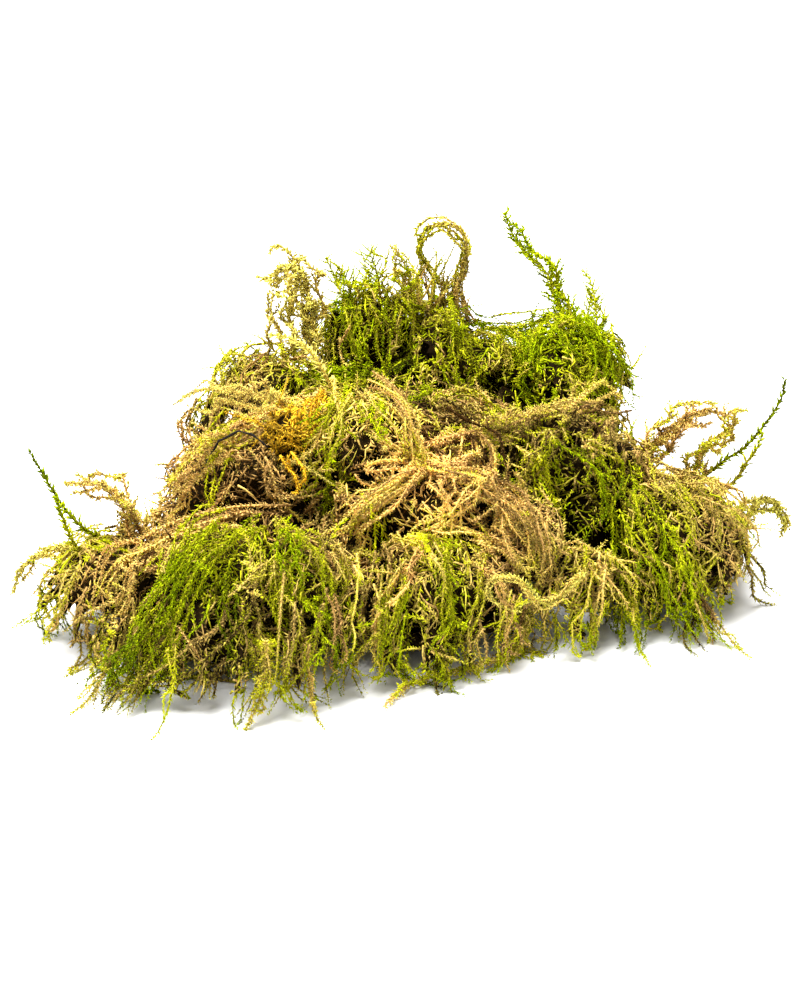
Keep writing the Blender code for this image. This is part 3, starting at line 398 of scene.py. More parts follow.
class Skin:
    """The faces of some CAD nodes, joined, with a search tree over them."""

    def __init__(self, names):
        corners = []
        for name in names:
            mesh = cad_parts[name].data
            mesh.calc_loop_triangles()
            points = np.empty(len(mesh.vertices) * 3)
            mesh.vertices.foreach_get("co", points)
            index = np.empty(len(mesh.loop_triangles) * 3, np.int32)
            mesh.loop_triangles.foreach_get("vertices", index)
            corners.append(points.reshape(-1, 3)[index])
        corners = np.concatenate(corners)
        key, index = np.unique(np.round(corners / WELD).astype(np.int64), axis=0, return_inverse=True)
        self.points = key * WELD
        self.faces = index.reshape(-1, 3).astype(np.int32)
        self.tree = BVHTree.FromPolygons(self.points.tolist(), self.faces.tolist(), all_triangles=True)
        triangles = self.points[self.faces]
        cross = np.cross(triangles[:, 1] - triangles[:, 0], triangles[:, 2] - triangles[:, 0])
        self.areas = np.linalg.norm(cross, axis=1) / 2
        self.normals = unit(cross)
        self.centres = triangles.mean(1)
        self.point_normals = np.zeros_like(self.points)
        for corner in range(3):
            np.add.at(self.point_normals, self.faces[:, corner], cross)
        self.point_normals = unit(self.point_normals)

    def thicknesses(self):
        """How thick the solid is under each of its points."""
        found = []
        for point, normal in zip(self.points, self.point_normals):
            inward = -Vector(normal)
            distance = self.tree.ray_cast(Vector(point) + inward * 0.05 * MM, inward)[3]
            found.append(distance or 0.0)
        return np.array(found)

    def nearest(self, place):
        location, normal, _, _ = self.tree.find_nearest(place)
        return location, normal

    def outer(self, place, normal):
        """A place on the skin moved out to the surface over it, where another solid covers it."""
        for _ in range(OUTER_TRIES):
            over, facing, _, _ = self.tree.ray_cast(place + normal * 0.2 * MM, normal, OUTER_REACH)
            if over is None or facing.dot(normal) <= 0:
                return place, normal
            place, normal = over, facing
        return place, normal

    def openness(self, place):
        """Share of the sky seen from a place."""
        free = sum(self.tree.ray_cast(place, ray, SKY_REACH)[0] is None for ray in SKY)
        return free / len(SKY)

    def scattered(self, count, weights, chance):
        """Random places on the faces, with the faces they are on."""
        share = self.areas * weights
        picked = chance.choice(len(share), count, p=share / share.sum())
        a, b = chance.random((2, count, 1))
        over = a + b > 1
        a, b = np.where(over, 1 - a, a), np.where(over, 1 - b, b)
        first, second, third = np.moveaxis(self.points[self.faces[picked]], 1, 0)
        return picked, first + (second - first) * a + (third - first) * b

    def starts(self, count, weights, chance):
        """Random places on the faces, with their normals."""
        if not count:
            return []
        picked, places = self.scattered(count, weights, chance)
        return [(Vector(place), Vector(normal)) for place, normal in zip(places, self.normals[picked])]


FLOW_REACH = 4.5 * MM            # how far a stream leads the moss beside it
FLOW_SLACK = 0.15                # weight of lying no way at all
FAR_AGE = 0.40                   # age of the moss far from every stream
FAR_DRIFT = 0.28                 # how much that wanders from place to place
FAR_WEIGHT = 0.06                # its weight against the streams' ages


class Flow:
    """Which way the moss lies at a place, and how old it is there, from the streams near it."""

    def __init__(self, streams):
        spans = [(a, b, age) for age, _, *places in streams for a, b in zip(places, places[1:])]
        self.starts = np.array([a for a, _, _ in spans]) * MM
        self.spans = np.array([b for _, b, _ in spans]) * MM - self.starts
        self.ages = np.array([age for _, _, age in spans])
        self.ways = unit(self.spans)
        self.squares = (self.spans**2).sum(1)

    def weights(self, place):
        offset = np.array(place) - self.starts
        share = np.clip((offset * self.spans).sum(1) / self.squares, 0, 1)
        away = offset - self.spans * share[:, None]
        return np.exp(-(away**2).sum(1) / (2 * FLOW_REACH**2))

    def way(self, place):
        """The streams' direction, up to 1 long where they agree."""
        weights = self.weights(place)
        return Vector(weights @ self.ways / (weights.sum() + FLOW_SLACK))

    def age(self, place):
        weights = self.weights(place)
        far_age = FAR_AGE + FAR_DRIFT * drift(place, 14 * MM, 4)
        return (weights @ self.ages + FAR_WEIGHT * far_age) / (weights.sum() + FAR_WEIGHT)


def drift(place, size, seed):
    """Smooth noise about -1 to 1 over places, so that shoots that grow together look alike."""
    return noise.noise(place / size + Vector((seed * 5.3, seed * 2.9, seed * 1.3))) * 1.6


def hollow_at(place):
    """How deep in one of the dark holes a place is, from 0 outside to 1 in the middle."""
    away = np.linalg.norm(HOLLOW_MIDDLES - np.array(place), axis=1) / HOLLOW_RADII
    return max(0.0, 1.0 - float(away.min()))


def patch_at(place):
    """How much lighter or darker the moss is at a place."""
    place = Vector(place) / MM
    return sum(tone * math.exp(-((place - Vector(middle)).length / radius)**2)
               for middle, radius, tone in PATCHES)


def painted_low_shade(height):
    """How much darker the moss is painted at a height near the floor, as shade."""
    return LOW_PAINTED_SHADE * max(0.0, 1 - height / LOW)


def stream_owner(places):
    """Which tuft a stream lies on, or the old growth: the solid closest to its middle."""
    middle = Vector(places[len(places) // 2]) * MM
    gaps = {name: (skin.nearest(middle)[0] - middle).length for name, skin in SKINS.items()}
    return min(gaps, key=gaps.get)


def face_openness(skin):
    """Share of the sky seen from each face of a skin."""
    places = skin.centres + skin.normals * 0.5 * MM
    return np.array([CLUMP.openness(Vector(place)) for place in places])


def sky_along(line):
    """Share of open sky at the root, middle and tip of a line."""
    return [CLUMP.openness(Vector(line[i]) + UP * 0.6 * MM) for i in (0, len(line) // 2, len(line) - 1)]


CLUMP = Skin(BED_AND_TUFTS)
SKINS = {name: Skin([name]) for name in BED_AND_TUFTS}
STREAM_OWNERS = [stream_owner(places) for _, _, *places in STREAMS]
FLOW = Flow(STREAMS)

# Stems and leaves. A lightness of 0 is about a leaf's own colour, -2 nearly black and 1 much brighter
HEART_SHARE = 0.4                # deepest a heart lies in its solid, as a share of the thickness
# painted shade: a heart is painted nearly black, as the shade deep inside the clump, and darker still in a
# dark hole
HEART_TONE = -2.2
HEART_AGE = 0.15                 # how much older it is than the moss on it
HEART_SKY = 0.3                  # share of the sky it is counted as seeing outside the dark holes, for its painted shade
HOLE_DEPTH = 3.0                 # how much deeper it lies in a dark hole, in millimetres
HOLE_RIM = 0.1                   # how deep in a dark hole the undergrowth ends
HOLE_THINNING = 4                # how fast ropes and sprigs thin out into it
STEM_AGE = 0.10                  # how much older a stem is than its leaves
# a stem is painted darker than its leaves: partly its own darker colour, partly painted shade between the
# leaves
STEM_TONE = -0.55
STEM_TAPER = 0.7
LEAF_LEAN = 0.2                  # how much leaves differ in their angle to the stem
LEAF_SWING = 0.22                # and how far they swing sideways
LEAF_LENGTHS = (0.65, 1.2)       # shortest and longest, against the usual length
LEAF_TAPER = 0.45                # how much shorter they are at the tip of a stem
LEAF_FOOT = 0.45                 # where a leaf is rooted in the stem, as a share of its radius
LEAF_AGES = 0.03                 # how much neighbours differ in age
BELLY = 0.35                     # where a leaf is widest, from its foot
KEEL = 0.4                       # how deep its keel is, against half its width
LEAF_TONES = 0.32                # how much neighbours differ in lightness
FOOT_TONE, TIP_TONE = -0.4, 0.5  # a leaf's foot and tip, against its middle

# Short leaves that hide the hearts
UNDERGROWTH_DEPTH = 1.6 * MM
UNDERGROWTH_LENGTH = 2.2 * MM
UNDERGROWTH_WIDTH = 0.50 * MM
UNDERGROWTH_RISES = (0.15, 0.9)  # how far they stand up
UNDERGROWTH_AGE = 0.12           # how much older they are than the ropes
UNDERGROWTH_TONE = -0.3
UNDERGROWTH_SKY = 0.8            # share of the open sky they are counted as seeing, so that they are painted darker as shade
PLAIN_GROWTH, FEATHERY_GROWTH = 0.9, 1.45    # how close they stand in plain and in feathery moss

# Bare stems matted between them; depths and radii in millimetres
FELT_DENSITY = 0.18              # stems to each square millimetre
FELT_PLACES = 4                  # places that a stem runs through
FELT_STEP = 2                    # from one to the next, in millimetres
FELT_WANDERING = 0.3
FELT_FOLLOW = 0.8                # pull of the streams
FELT_DEPTHS = (-1.5, 0.2)
FELT_RADII = (0.16, 0.30)
FELT_TAPER = 0.6
FELT_AGE = 0.10
FELT_TONE = -0.65
FELT_HOLE_SHADE = 1.4            # painted shade: how much darker they are painted in a dark hole
FELT_LOWEST = 1 * MM

Leaves = namedtuple("Leaves", "length width angle spacing stem")


class MossMesh:
    """One joined mesh of leafy shoots, made from arrays."""

    def __init__(self, name):
        self.name = name
        self.chance = np.random.default_rng(zlib.crc32(name.encode()))
        self.points, self.faces, self.values = [], [], []
        self.count = 0

    def add(self, points, faces, age, light, open_sky):
        """Adds vertices with their ages, lightness and share of open sky, and the faces between them."""
        values = [np.broadcast_to(value, len(points)) for value in (age, light, open_sky)]
        self.points.append(points)
        self.faces.append(faces + self.count)
        self.values.append(np.stack(values, 1))
        self.count += len(points)

    def add_heart(self, skin, depth, lowest):
        """Adds the inside of a solid, painted dark as shade: its skin, drawn in, and further in the holes."""
        holes = np.array([hollow_at(Vector(point)) for point in skin.points])
        depths = np.minimum(depth + holes * HOLE_DEPTH * MM, skin.thicknesses() * HEART_SHARE)
        points = skin.points - skin.point_normals * depths[:, None]
        points[:, 2] = np.maximum(points[:, 2], lowest)
        ages = np.array([FLOW.age(Vector(point)) for point in skin.points])
        ages = np.clip(ages + HEART_AGE, 0, OLDEST)
        # painted shade: the heart nearly black, darker in the holes and seeing no sky there
        self.add(points, skin.faces, ages, HEART_TONE - holes, HEART_SKY * (holes == 0))

    def add_stem(self, line, across, side, radii, age, open_sky, light):
        """Adds a closed three-sided stem that ends in a point."""
        count = len(line)
        turn = np.arange(3) * 2 * math.pi / 3
        ring = across[:, None] * np.cos(turn)[:, None] + side[:, None] * np.sin(turn)[:, None]
        rings = (line[:, None] + ring * radii[:, None, None])[:-1].reshape(-1, 3)
        points = np.concatenate([rings, line[-1:]])
        base = (np.arange(count - 2)[:, None] * 3 + np.arange(3)).ravel()
        after = (np.arange(count - 2)[:, None] * 3 + (np.arange(3) + 1) % 3).ravel()
        last = (count - 2) * 3
        faces = np.concatenate([
            np.stack([base, after, after + 3], 1), np.stack([base, after + 3, base + 3], 1),
            [[last + k, last + (k + 1) % 3, last + 3] for k in range(3)], [[0, 2, 1]]])
        values = [np.concatenate([np.repeat(value[:-1], 3), value[-1:]]) for value in (age, open_sky)]
        self.add(points, faces, values[0] + STEM_AGE, light, values[1])

    def add_leaves(self, line, ahead, across, side, radii, leaves, size, age, open_sky, tone):
        """Adds pointed leaves all round a stem, each a closed spike of four faces."""
        chance = self.chance
        length = float(np.linalg.norm(np.diff(line, axis=0), axis=1).sum())
        count = max(3, int(length / (leaves.spacing * size**0.5)))
        order = np.arange(count)
        share = (order + 0.5 + chance.uniform(-0.4, 0.4, count)) / count
        place = share * (len(line) - 1)
        first = np.minimum(place.astype(int), len(line) - 2)
        part = (place - first)[:, None]

        def at(rows):
            return rows[first] * (1 - part) + rows[first + 1] * part

        turn = (order * GOLDEN_ANGLE + chance.uniform(0, 6.3))[:, None]
        out = at(across) * np.cos(turn) + at(side) * np.sin(turn)
        forward = unit(at(ahead))
        lean = (leaves.angle + chance.normal(0, LEAF_LEAN, count))[:, None]
        wide = unit(np.cross(forward, out))
        swing = chance.normal(0, LEAF_SWING, (count, 1))
        way = unit(forward * np.cos(lean) + out * np.sin(lean) + wide * swing)
        wide = unit(np.cross(way, np.cross(wide, way)))
        reach = leaves.length * size * chance.uniform(*LEAF_LENGTHS, count) * (1 - LEAF_TAPER * share**3)
        foot = at(line) + out * at(radii[:, None]) * LEAF_FOOT
        years = at(age[:, None])[:, 0] + chance.normal(0, LEAF_AGES, count)
        self.add_blades(foot, way, wide, reach, leaves.width * size, years, at(open_sky[:, None])[:, 0], tone)

    def add_blades(self, foot, way, wide, reach, width, age, open_sky, tone):
        """Adds leaf blades, each a closed keeled diamond of four faces, widest a third of the way up."""
        count = len(foot)
        half = wide * width * 0.5
        middle = foot + way * reach[:, None] * BELLY + np.cross(way, half) * KEEL
        points = np.stack([foot, middle + half, middle - half, foot + way * reach[:, None]], 1)
        faces = np.array([(0, 2, 1), (0, 1, 3), (1, 2, 3), (2, 0, 3)]) + np.arange(count)[:, None, None] * 4
        tones = self.chance.normal(tone, LEAF_TONES, count)
        light = np.stack([tones + FOOT_TONE, tones, tones, tones + TIP_TONE], 1)
        self.add(points.reshape(-1, 3), faces.reshape(-1, 3), np.repeat(age, 4), light.ravel(),
                 np.repeat(open_sky, 4))

    def add_undergrowth(self, skin, weights, sky, density, age_of):
        """Adds short leaves that lie every way over a heart, so that no bare skin shows."""
        chance = self.chance
        area = (skin.areas * weights).sum() / MM**2
        faces, places = skin.scattered(round(area * density), weights, chance)
        kept = np.array([hollow_at(place) < HOLE_RIM for place in places])
        faces, places, count = faces[kept], places[kept], int(kept.sum())
        normals = skin.normals[faces]
        aside = chance.normal(0, 1, (count, 3))
        aside = unit(aside - normals * (aside * normals).sum(1, keepdims=True))
        way = unit(aside + normals * chance.uniform(*UNDERGROWTH_RISES, (count, 1)))
        wide = unit(np.cross(way, normals + chance.normal(0, 0.5, (count, 3))))
        reach = UNDERGROWTH_LENGTH * chance.uniform(0.5, 1.0, count)
        age = np.array([age_of(Vector(place)) for place in places]) + UNDERGROWTH_AGE
        tone = np.array([patch_at(place) for place in places]) + UNDERGROWTH_TONE
        # painted shade: the undergrowth counts less of the open sky, so it is painted darker
        self.add_blades(places - normals * UNDERGROWTH_DEPTH, way, wide, reach, UNDERGROWTH_WIDTH, age,
                        sky[faces] * UNDERGROWTH_SKY, tone)

    def add_felt(self, skin, weights, sky, age_of):
        """Adds bare stems that lie matted every way over a heart."""
        chance = self.chance
        area = (skin.areas * weights).sum() / MM**2
        faces, places = skin.scattered(round(area * FELT_DENSITY), weights, chance)
        for face, start in zip(faces, places):
            normal = Vector(skin.normals[face])
            way = Vector(chance.normal(0, 1, 3)) + FLOW.way(start) * FELT_FOLLOW
            depth = chance.uniform(*FELT_DEPTHS) * MM
            place, line = Vector(start), []
            for _ in range(FELT_PLACES):
                line.append(place + normal * depth)
                way = way + Vector(chance.normal(0, FELT_WANDERING, 3)) * way.length
                way = (way - normal * way.dot(normal)).normalized()
                place, normal = skin.nearest(place + way * FELT_STEP * MM)
            line = np.array(line)
            line[:, 2] = np.maximum(line[:, 2], FELT_LOWEST)
            ahead = unit(np.gradient(line, axis=0))
            across = unit(np.cross(ahead, np.array(normal) + chance.normal(0, 0.3, 3)))
            radii = chance.uniform(*FELT_RADII) * MM * np.linspace(1, FELT_TAPER, FELT_PLACES)
            age = min(age_of(Vector(start)) + FELT_AGE, OLDEST)
            # painted shade: darker in a dark hole
            tone = chance.normal(FELT_TONE, 0.3) + patch_at(start) - FELT_HOLE_SHADE * hollow_at(start)
            self.add_stem(line, across, np.cross(ahead, across), radii, np.full(FELT_PLACES, age),
                          np.full(FELT_PLACES, sky[face]), tone)

    def add_shoot(self, line, leaves, age, open_sky, size, tone=0.0):
        """Adds a stem along a line, with its leaves."""
        line = np.array(line, float)
        line[:, 2] = np.maximum(line[:, 2], leaves.stem + FLOOR_CLEARANCE)
        ahead = unit(np.gradient(line, axis=0))
        across = np.empty_like(line)
        lead = np.cross(ahead[0], (0.3, 0.5, 0.8))
        for i, forward in enumerate(ahead):
            lead = lead - forward * (lead @ forward)
            lead = lead / max(math.sqrt(lead @ lead), 1e-9)
            across[i] = lead
        side = np.cross(ahead, across)
        share = np.linspace(0, 1, len(line))
        radii = leaves.stem * size * (1 - STEM_TAPER * share**2)
        ages = np.interp(share, (0, 1), age)
        skies = np.interp(share, np.linspace(0, 1, len(open_sky)), open_sky)
        self.add_stem(line, across, side, radii, ages, skies, tone + STEM_TONE)
        self.add_leaves(line, ahead, across, side, radii, leaves, size, ages, skies, tone)

    def build(self):
        """Makes the mesh object, with its three attributes."""
        points = np.concatenate(self.points)
        low = points[:, 2] < FLOOR_CLEARANCE
        points[low, 2] = FLOOR_CLEARANCE * (1 + self.chance.random(low.sum()))
        faces = np.concatenate(self.faces).astype(np.int32)
        mesh = bpy.data.meshes.new(self.name)
        mesh.vertices.add(len(points))
        mesh.vertices.foreach_set("co", points.astype(np.float32).ravel())
        mesh.loops.add(faces.size)
        mesh.loops.foreach_set("vertex_index", faces.ravel())
        mesh.polygons.add(len(faces))
        mesh.polygons.foreach_set("loop_start", np.arange(0, faces.size, 3, dtype=np.int32))
        mesh.update(calc_edges=True)
        for name, column in zip(("age", "light", "open_sky"), np.concatenate(self.values).T):
            attribute = mesh.attributes.new(name, "FLOAT", "POINT")
            attribute.data.foreach_set("value", np.ascontiguousarray(column, np.float32))
        piece = bpy.data.objects.new(self.name, mesh)
        bpy.context.scene.collection.objects.link(piece)
        return piece


FEATHERY_STEM = 0.6              # a living stem's radius against a dried one's

# Ropes
ROPE_WIDTH = 2.0 * MM
STRANDS = 3                      # ropes in one lock
ROPE_SIZES = (0.8, 1.15)
ROPE_LENGTHS = (0.35, 1.0)       # shortest and longest, against the setting
MEAN_LENGTH = 0.6
LOCKS_EVEN, LOCKS_DRIFT = 0.8, 0.9           # how thickly locks grow, and how much that wanders
LOCKS_RANGE = (0.45, 1.7)                    # thinnest and thickest
ROPE_SPREADS = (1.5 * MM, 1.1 * MM, 0.6 * MM)        # between the ropes of a lock: root, middle and tip
STREAM_SPREADS = (1.6 * MM, 1.3 * MM, 1.2 * MM)      # and of a stream
STREAM_LIFTS = (0.6, 3.2)        # lowest and highest rope of a stream over the skin, in millimetres
UNDER_LIFTS = (-1.3, -0.6)       # and of a lock on the underside
STRAYING = 0.3                   # share of the locks that don't follow the streams
FEATHERING = 0.05                # share of the living ropes that branch, in the bed and in the streams
SPRIG_LENGTHS = (3.5, 8.0)       # in millimetres
SPRIG_SIZES = (0.7, 1.0)
SPRIG_WAY = (0.7, 0.8, 0.15)     # how far they lean off the skin, aside and up
SPRIG_ROOT_AGE = 0.08            # a sprig's root, against its middle
ROOT_AGE, END_AGE = 0.10, -0.06  # a rope's root and tip, against its middle
AGE_DRIFT = 0.12                 # how much its age wanders from place to place
AGE_SPREAD = 0.06                # and from rope to rope
ODD_SHARE = 0.08                 # share of ropes much older than their stream, and of those much younger
ODD_OLDER, ODD_YOUNGER = 0.26, 0.22
OLDEST_ROPE = 0.92
ROPE_TONES = 0.35                # how much locks differ in lightness
HOLE_EDGE = 0.2                  # how deep in a dark hole a rope ends
ENDED, STREAM_ENDED = 0.92, 0.5  # share of the ropes that end there, and of a stream's
STRAND_AGES = 0.03               # how much the ropes of a lock differ in age
STREAM_AGES = 0.07               # and those of a stream
STREAM_TONES = (-0.1, 0.3)       # lightness of a stream's ropes, and how much they differ
WAVES = (5, 14)                  # shortest and longest wave of a rope, in millimetres
WAVE_SHARE = 0.38                # their height, against how far ropes spread
BRANCH_LENGTH = 4.5 * MM
BRANCH_LENGTHS = (0.7, 1.2)      # shortest and longest against that
BRANCH_TAPER = 0.75              # how much shorter they are at the tip of the shoot
BRANCH_WAY = 0.75                # how far they lean both forwards and aside
BRANCH_BEND = 0.25               # how far they bend forwards at the tip
BRANCH_SIZE = 0.8                # a branch against its shoot
BRANCH_YOUTH = 0.1               # how much younger its tip is

# How a rope creeps, at each step
START_CHANCE = 1.1               # pull of a random way at its start, against that of the streams
FOLLOW = 0.5                     # pull of the streams
TURN_KEPT = 0.7                  # share of its last turn that it keeps
TURN_CHANCE = 0.10
TURN_DRIFT = 0.16
DOWNHILL = 0.12                  # pull of the slope
SAG = 0.18                       # pull down on a rope that hangs free
HANGING_CHANCE = 0.30
HANGING_STEPS = 4                # how many steps a rope reaches past a rim
LONGEST_JUMP = 3 * STEP          # a rope ends where the surface over it is further off than this
RIM = -0.3                       # it hangs free where the skin looks further down than this
ROPE_REST = 0.9 * MM             # height of a rope that lies on the floor


def leaf_kinds(context):
    """Living and dried leaves, by the settings."""
    sizes = context.scene.moss_leaves
    width, stem = sizes.leaf_width, sizes.stem_radius
    feathery = Leaves(sizes.feathery_length, width, sizes.feathery_angle, sizes.feathery_spacing,
                      stem * FEATHERY_STEM)
    hairy = Leaves(sizes.hairy_length, width, sizes.hairy_angle, sizes.hairy_spacing, stem)
    return feathery, hairy


def rope_age(place, seed, chance):
    """The age of a rope rooted at a place: its stream's, wandering, with a few much older or younger."""
    age = FLOW.age(place) + AGE_DRIFT * drift(place, 6 * MM, seed) + chance.normal(0, AGE_SPREAD)
    age -= REAR_YOUTH * (place.y > REAR)
    pick = chance.random()
    if pick < ODD_SHARE:
        age += ODD_OLDER
    elif pick > 1 - ODD_SHARE:
        age -= ODD_YOUNGER
    return min(max(age, YOUNGEST), OLDEST_ROPE)


def creep(place, normal, length, follow, chance):
    """A line that creeps over the clump along its streams, wandering, and hangs free past a rim."""
    turn = chance.uniform(0, 2 * math.pi)
    heading = Vector((math.cos(turn), math.sin(turn), 0)) * (START_CHANCE - follow)
    heading = heading + FLOW.way(place) * 2 * follow
    places, normals = [place.copy()], [normal.copy()]
    turn, hanging, under = 0.0, 0, normal.z < UNDERSIDE
    for _ in range(max(3, round(length / STEP))):
        if hanging:
            hanging += 1
            heading = (heading - UP * SAG + Vector(chance.normal(0, HANGING_CHANCE, 3))).normalized()
            place = place + heading * STEP
            if place.z < ROPE_REST:
                place.z = ROPE_REST
                heading.z = 0.0
        else:
            turn = TURN_KEPT * turn + chance.normal(0, TURN_CHANCE) + TURN_DRIFT * drift(place, 7 * MM, 9)
            downhill = normal * normal.z - UP
            heading = heading + normal.cross(heading) * turn + downhill * DOWNHILL
            heading = heading + FLOW.way(place) * follow * FOLLOW
            heading = (heading - normal * heading.dot(normal)).normalized()
            before = place
            place, normal = CLUMP.nearest(place + heading * STEP)
            if not under:
                place, normal = CLUMP.outer(place, normal)
                if (place - before).length > LONGEST_JUMP:
                    break
                hanging = int(normal.z < RIM or place.z < ROPE_REST)
        places.append(place)
        normals.append(normal)
        if hanging > HANGING_STEPS:
            break
    return np.array(places), np.array(normals)


def lifted(places, normals, lift, arch, rise):
    """A line raised off the skin: by an even lift, an arch in the middle, and a rise at the tip."""
    share = np.linspace(0, 1, len(places))
    height = lift + arch * np.sin(math.pi * share) + rise * share**4
    return softened(places + softened(normals, 3) * height[:, None])


def laid(line, lift):
    """A line moved out of the clump where it runs inside or too close to it."""
    moved = []
    for point in line:
        point = Vector(point)
        place, normal = CLUMP.outer(*CLUMP.nearest(point))
        moved.append(point if (point - place).dot(normal) > lift else place + normal * lift)
    return softened(moved)


def add_branches(mesh, line, leaves, age, open_sky, longest, size):
    """Side branches in turn left and right along a shoot, shorter towards its tip."""
    chance = mesh.chance
    line = np.array(line)
    ahead = unit(np.gradient(line, axis=0))
    for order, i in enumerate(range(2, len(line) - 1)):
        share = i / len(line)
        up = UP if abs(ahead[i][2]) < 0.8 else Vector((0, -1, 0))
        side = Vector(ahead[i]).cross(up).normalized() * (-1) ** order
        length = longest * (1 - BRANCH_TAPER * share) * chance.uniform(*BRANCH_LENGTHS)
        way = Vector(ahead[i]) * BRANCH_WAY + side * BRANCH_WAY + Vector(chance.normal(0, 0.16, 3))
        count = max(3, round(length / STEP))
        branch = []
        for k in range(count + 1):
            t = k / count
            bend = Vector(ahead[i]) * length * BRANCH_BEND * t * t
            branch.append(Vector(line[i]) + way * length * t + bend)
        sky = np.interp(share, np.linspace(0, 1, len(open_sky)), open_sky)
        mesh.add_shoot(branch, leaves, (age, age - BRANCH_YOUTH), [sky, sky], size * BRANCH_SIZE)


def spread(line, widths, chance):
    """A line moved aside at random, by widths at its root, middle and tip."""
    share = np.linspace(0, 1, len(line))[:, None]
    start, middle, end = (chance.normal(0, width, 3) for width in widths)
    line = line + start * (1 - share) + end * share + middle * np.sin(share * math.pi)
    length = float(np.linalg.norm(np.diff(line, axis=0), axis=1).sum())
    for waves in length / MM / chance.uniform(*WAVES, 2):
        wave = np.sin((share * waves + chance.random()) * 2 * math.pi)
        line = line + chance.normal(0, widths[1] * WAVE_SHARE, 3) * wave
    return line


def add_rope(mesh, line, kinds, age, feathering, tone, ended=ENDED):
    """Adds one matted rope, its leaves living or dried by its age, mostly ended at the first dark hole."""
    chance = mesh.chance
    inside = [i for i, point in enumerate(line) if hollow_at(point) > HOLE_EDGE]
    if inside and chance.random() < ended:
        line = line[:inside[0]]
    if len(line) < 4:
        return
    leaves = kinds[0] if age < LIVING else kinds[1]
    seen = sky_along(line)
    size = chance.uniform(*ROPE_SIZES)
    mesh.add_shoot(line, leaves, (age + ROOT_AGE, age + END_AGE), seen, size, tone)
    if chance.random() < feathering and age < LIVING_SHOOT:
        add_branches(mesh, line, leaves, age, seen, BRANCH_LENGTH, size)


def add_ropes(mesh, skin, weights, seed, context, feathering):
    """Adds locks of matted ropes that creep over the clump from roots on a skin, and gives how thickly
    they grow on its faces."""
    growth = context.scene.moss_growth
    kinds = leaf_kinds(context)
    chance = mesh.chance
    area = (skin.areas * weights).sum()
    patches = np.array([drift(Vector(centre), 9 * MM, seed + 20) for centre in skin.centres])
    weights = weights * np.clip(LOCKS_EVEN + LOCKS_DRIFT * patches, *LOCKS_RANGE)
    locks = round(area * growth.cover / (growth.rope_length * MEAN_LENGTH * ROPE_WIDTH * STRANDS))
    for place, normal in skin.starts(locks, weights, chance):
        if chance.random() < hollow_at(place) * HOLE_THINNING:
            continue
        length = growth.rope_length * chance.uniform(*ROPE_LENGTHS)
        under = normal.z < UNDERSIDE
        places, normals = creep(place, normal, length, float(chance.random() > STRAYING), chance)
        lift = chance.uniform(*UNDER_LIFTS) * MM if under else growth.looseness * (chance.random()**1.6 - 0.1)
        arch = 0.0 if under else growth.looseness * chance.uniform(-0.2, 1.0)
        rise = 0.0 if under else growth.looseness * 2 * chance.random()**3
        line = lifted(places, normals, lift, arch, rise)
        age = rope_age(place, seed, chance)
        tone = chance.normal(0.0, ROPE_TONES) + patch_at(place) - REAR_SHADE * (place.y > REAR)
        # painted shade: darker near the floor
        tone -= painted_low_shade(place.z)
        for _ in range(STRANDS):
            strand = spread(line, ROPE_SPREADS, chance)
            last = len(strand) - int(chance.integers(0, max(1, len(strand) // 3)))
            add_rope(mesh, strand[:last], kinds, age + chance.normal(0, STRAND_AGES), feathering, tone)
    return weights


def add_sprigs(mesh, skin, weights, seed, context):
    """Adds short shoots that stand off a skin."""
    kinds = leaf_kinds(context)
    chance = mesh.chance
    weights = weights * (skin.normals[:, 2] > UNDERSIDE)
    count = round((skin.areas * weights).sum() * 1e4 * context.scene.moss_growth.sprigs)
    for place, normal in skin.starts(count, weights, chance):
        if chance.random() < hollow_at(place) * HOLE_THINNING:
            continue
        length = chance.uniform(*SPRIG_LENGTHS) * MM
        aside = Vector(chance.normal(0, 1, 3))
        aside = (aside - normal * aside.dot(normal)).normalized()
        off, out, up = SPRIG_WAY
        way = (normal * off + aside * out + UP * up).normalized()
        bend = aside * chance.uniform(0.1, 0.8) - UP * chance.uniform(0.0, 0.6)
        steps = max(3, round(length / STEP))
        line = [place + way * length * k / steps + bend * length * 0.6 * (k / steps)**2
                for k in range(steps + 1)]
        age = rope_age(place, seed, chance)
        leaves = kinds[0] if age < LIVING else kinds[1]
        seen = sky_along(line)
        ages = (age + SPRIG_ROOT_AGE, age + END_AGE)
        mesh.add_shoot(line, leaves, ages, seen, chance.uniform(*SPRIG_SIZES))


def add_mat(mesh, skin, weights, sky, seed, context, feathering=FEATHERING):
    """Covers a skin with short undergrowth, felt, matted ropes and sprigs that stand off it."""
    def age_of(place):
        return rope_age(place, seed, mesh.chance)

    closeness = FEATHERY_GROWTH if feathering > 0.1 else PLAIN_GROWTH
    mesh.add_undergrowth(skin, weights, sky, context.scene.moss_growth.undergrowth * closeness, age_of)
    mesh.add_felt(skin, weights, sky, age_of)
    weights = add_ropes(mesh, skin, weights, seed, context, feathering)
    add_sprigs(mesh, skin, weights, seed, context)


def add_streams(mesh, name, kinds):
    """Lays the ropes of the streams that belong to one piece close together over the mat."""
    chance = mesh.chance
    for (age, count, *places), owner in zip(STREAMS, STREAM_OWNERS):
        if owner != name:
            continue
        guide = smooth_line(places, STEP)
        for _ in range(count):
            line = spread(guide, STREAM_SPREADS, chance)
            first = int(chance.integers(0, max(1, len(line) // 3)))
            line = laid(line[first:], chance.uniform(*STREAM_LIFTS) * MM)
            middle = line[len(line) // 2]
            years = min(max(age + chance.normal(0, STREAM_AGES), YOUNGEST), OLDEST)
            # painted shade: darker near the floor
            tone = chance.normal(*STREAM_TONES) + patch_at(middle) - painted_low_shade(middle[2])
            add_rope(mesh, line, kinds, years, FEATHERING, tone, STREAM_ENDED)


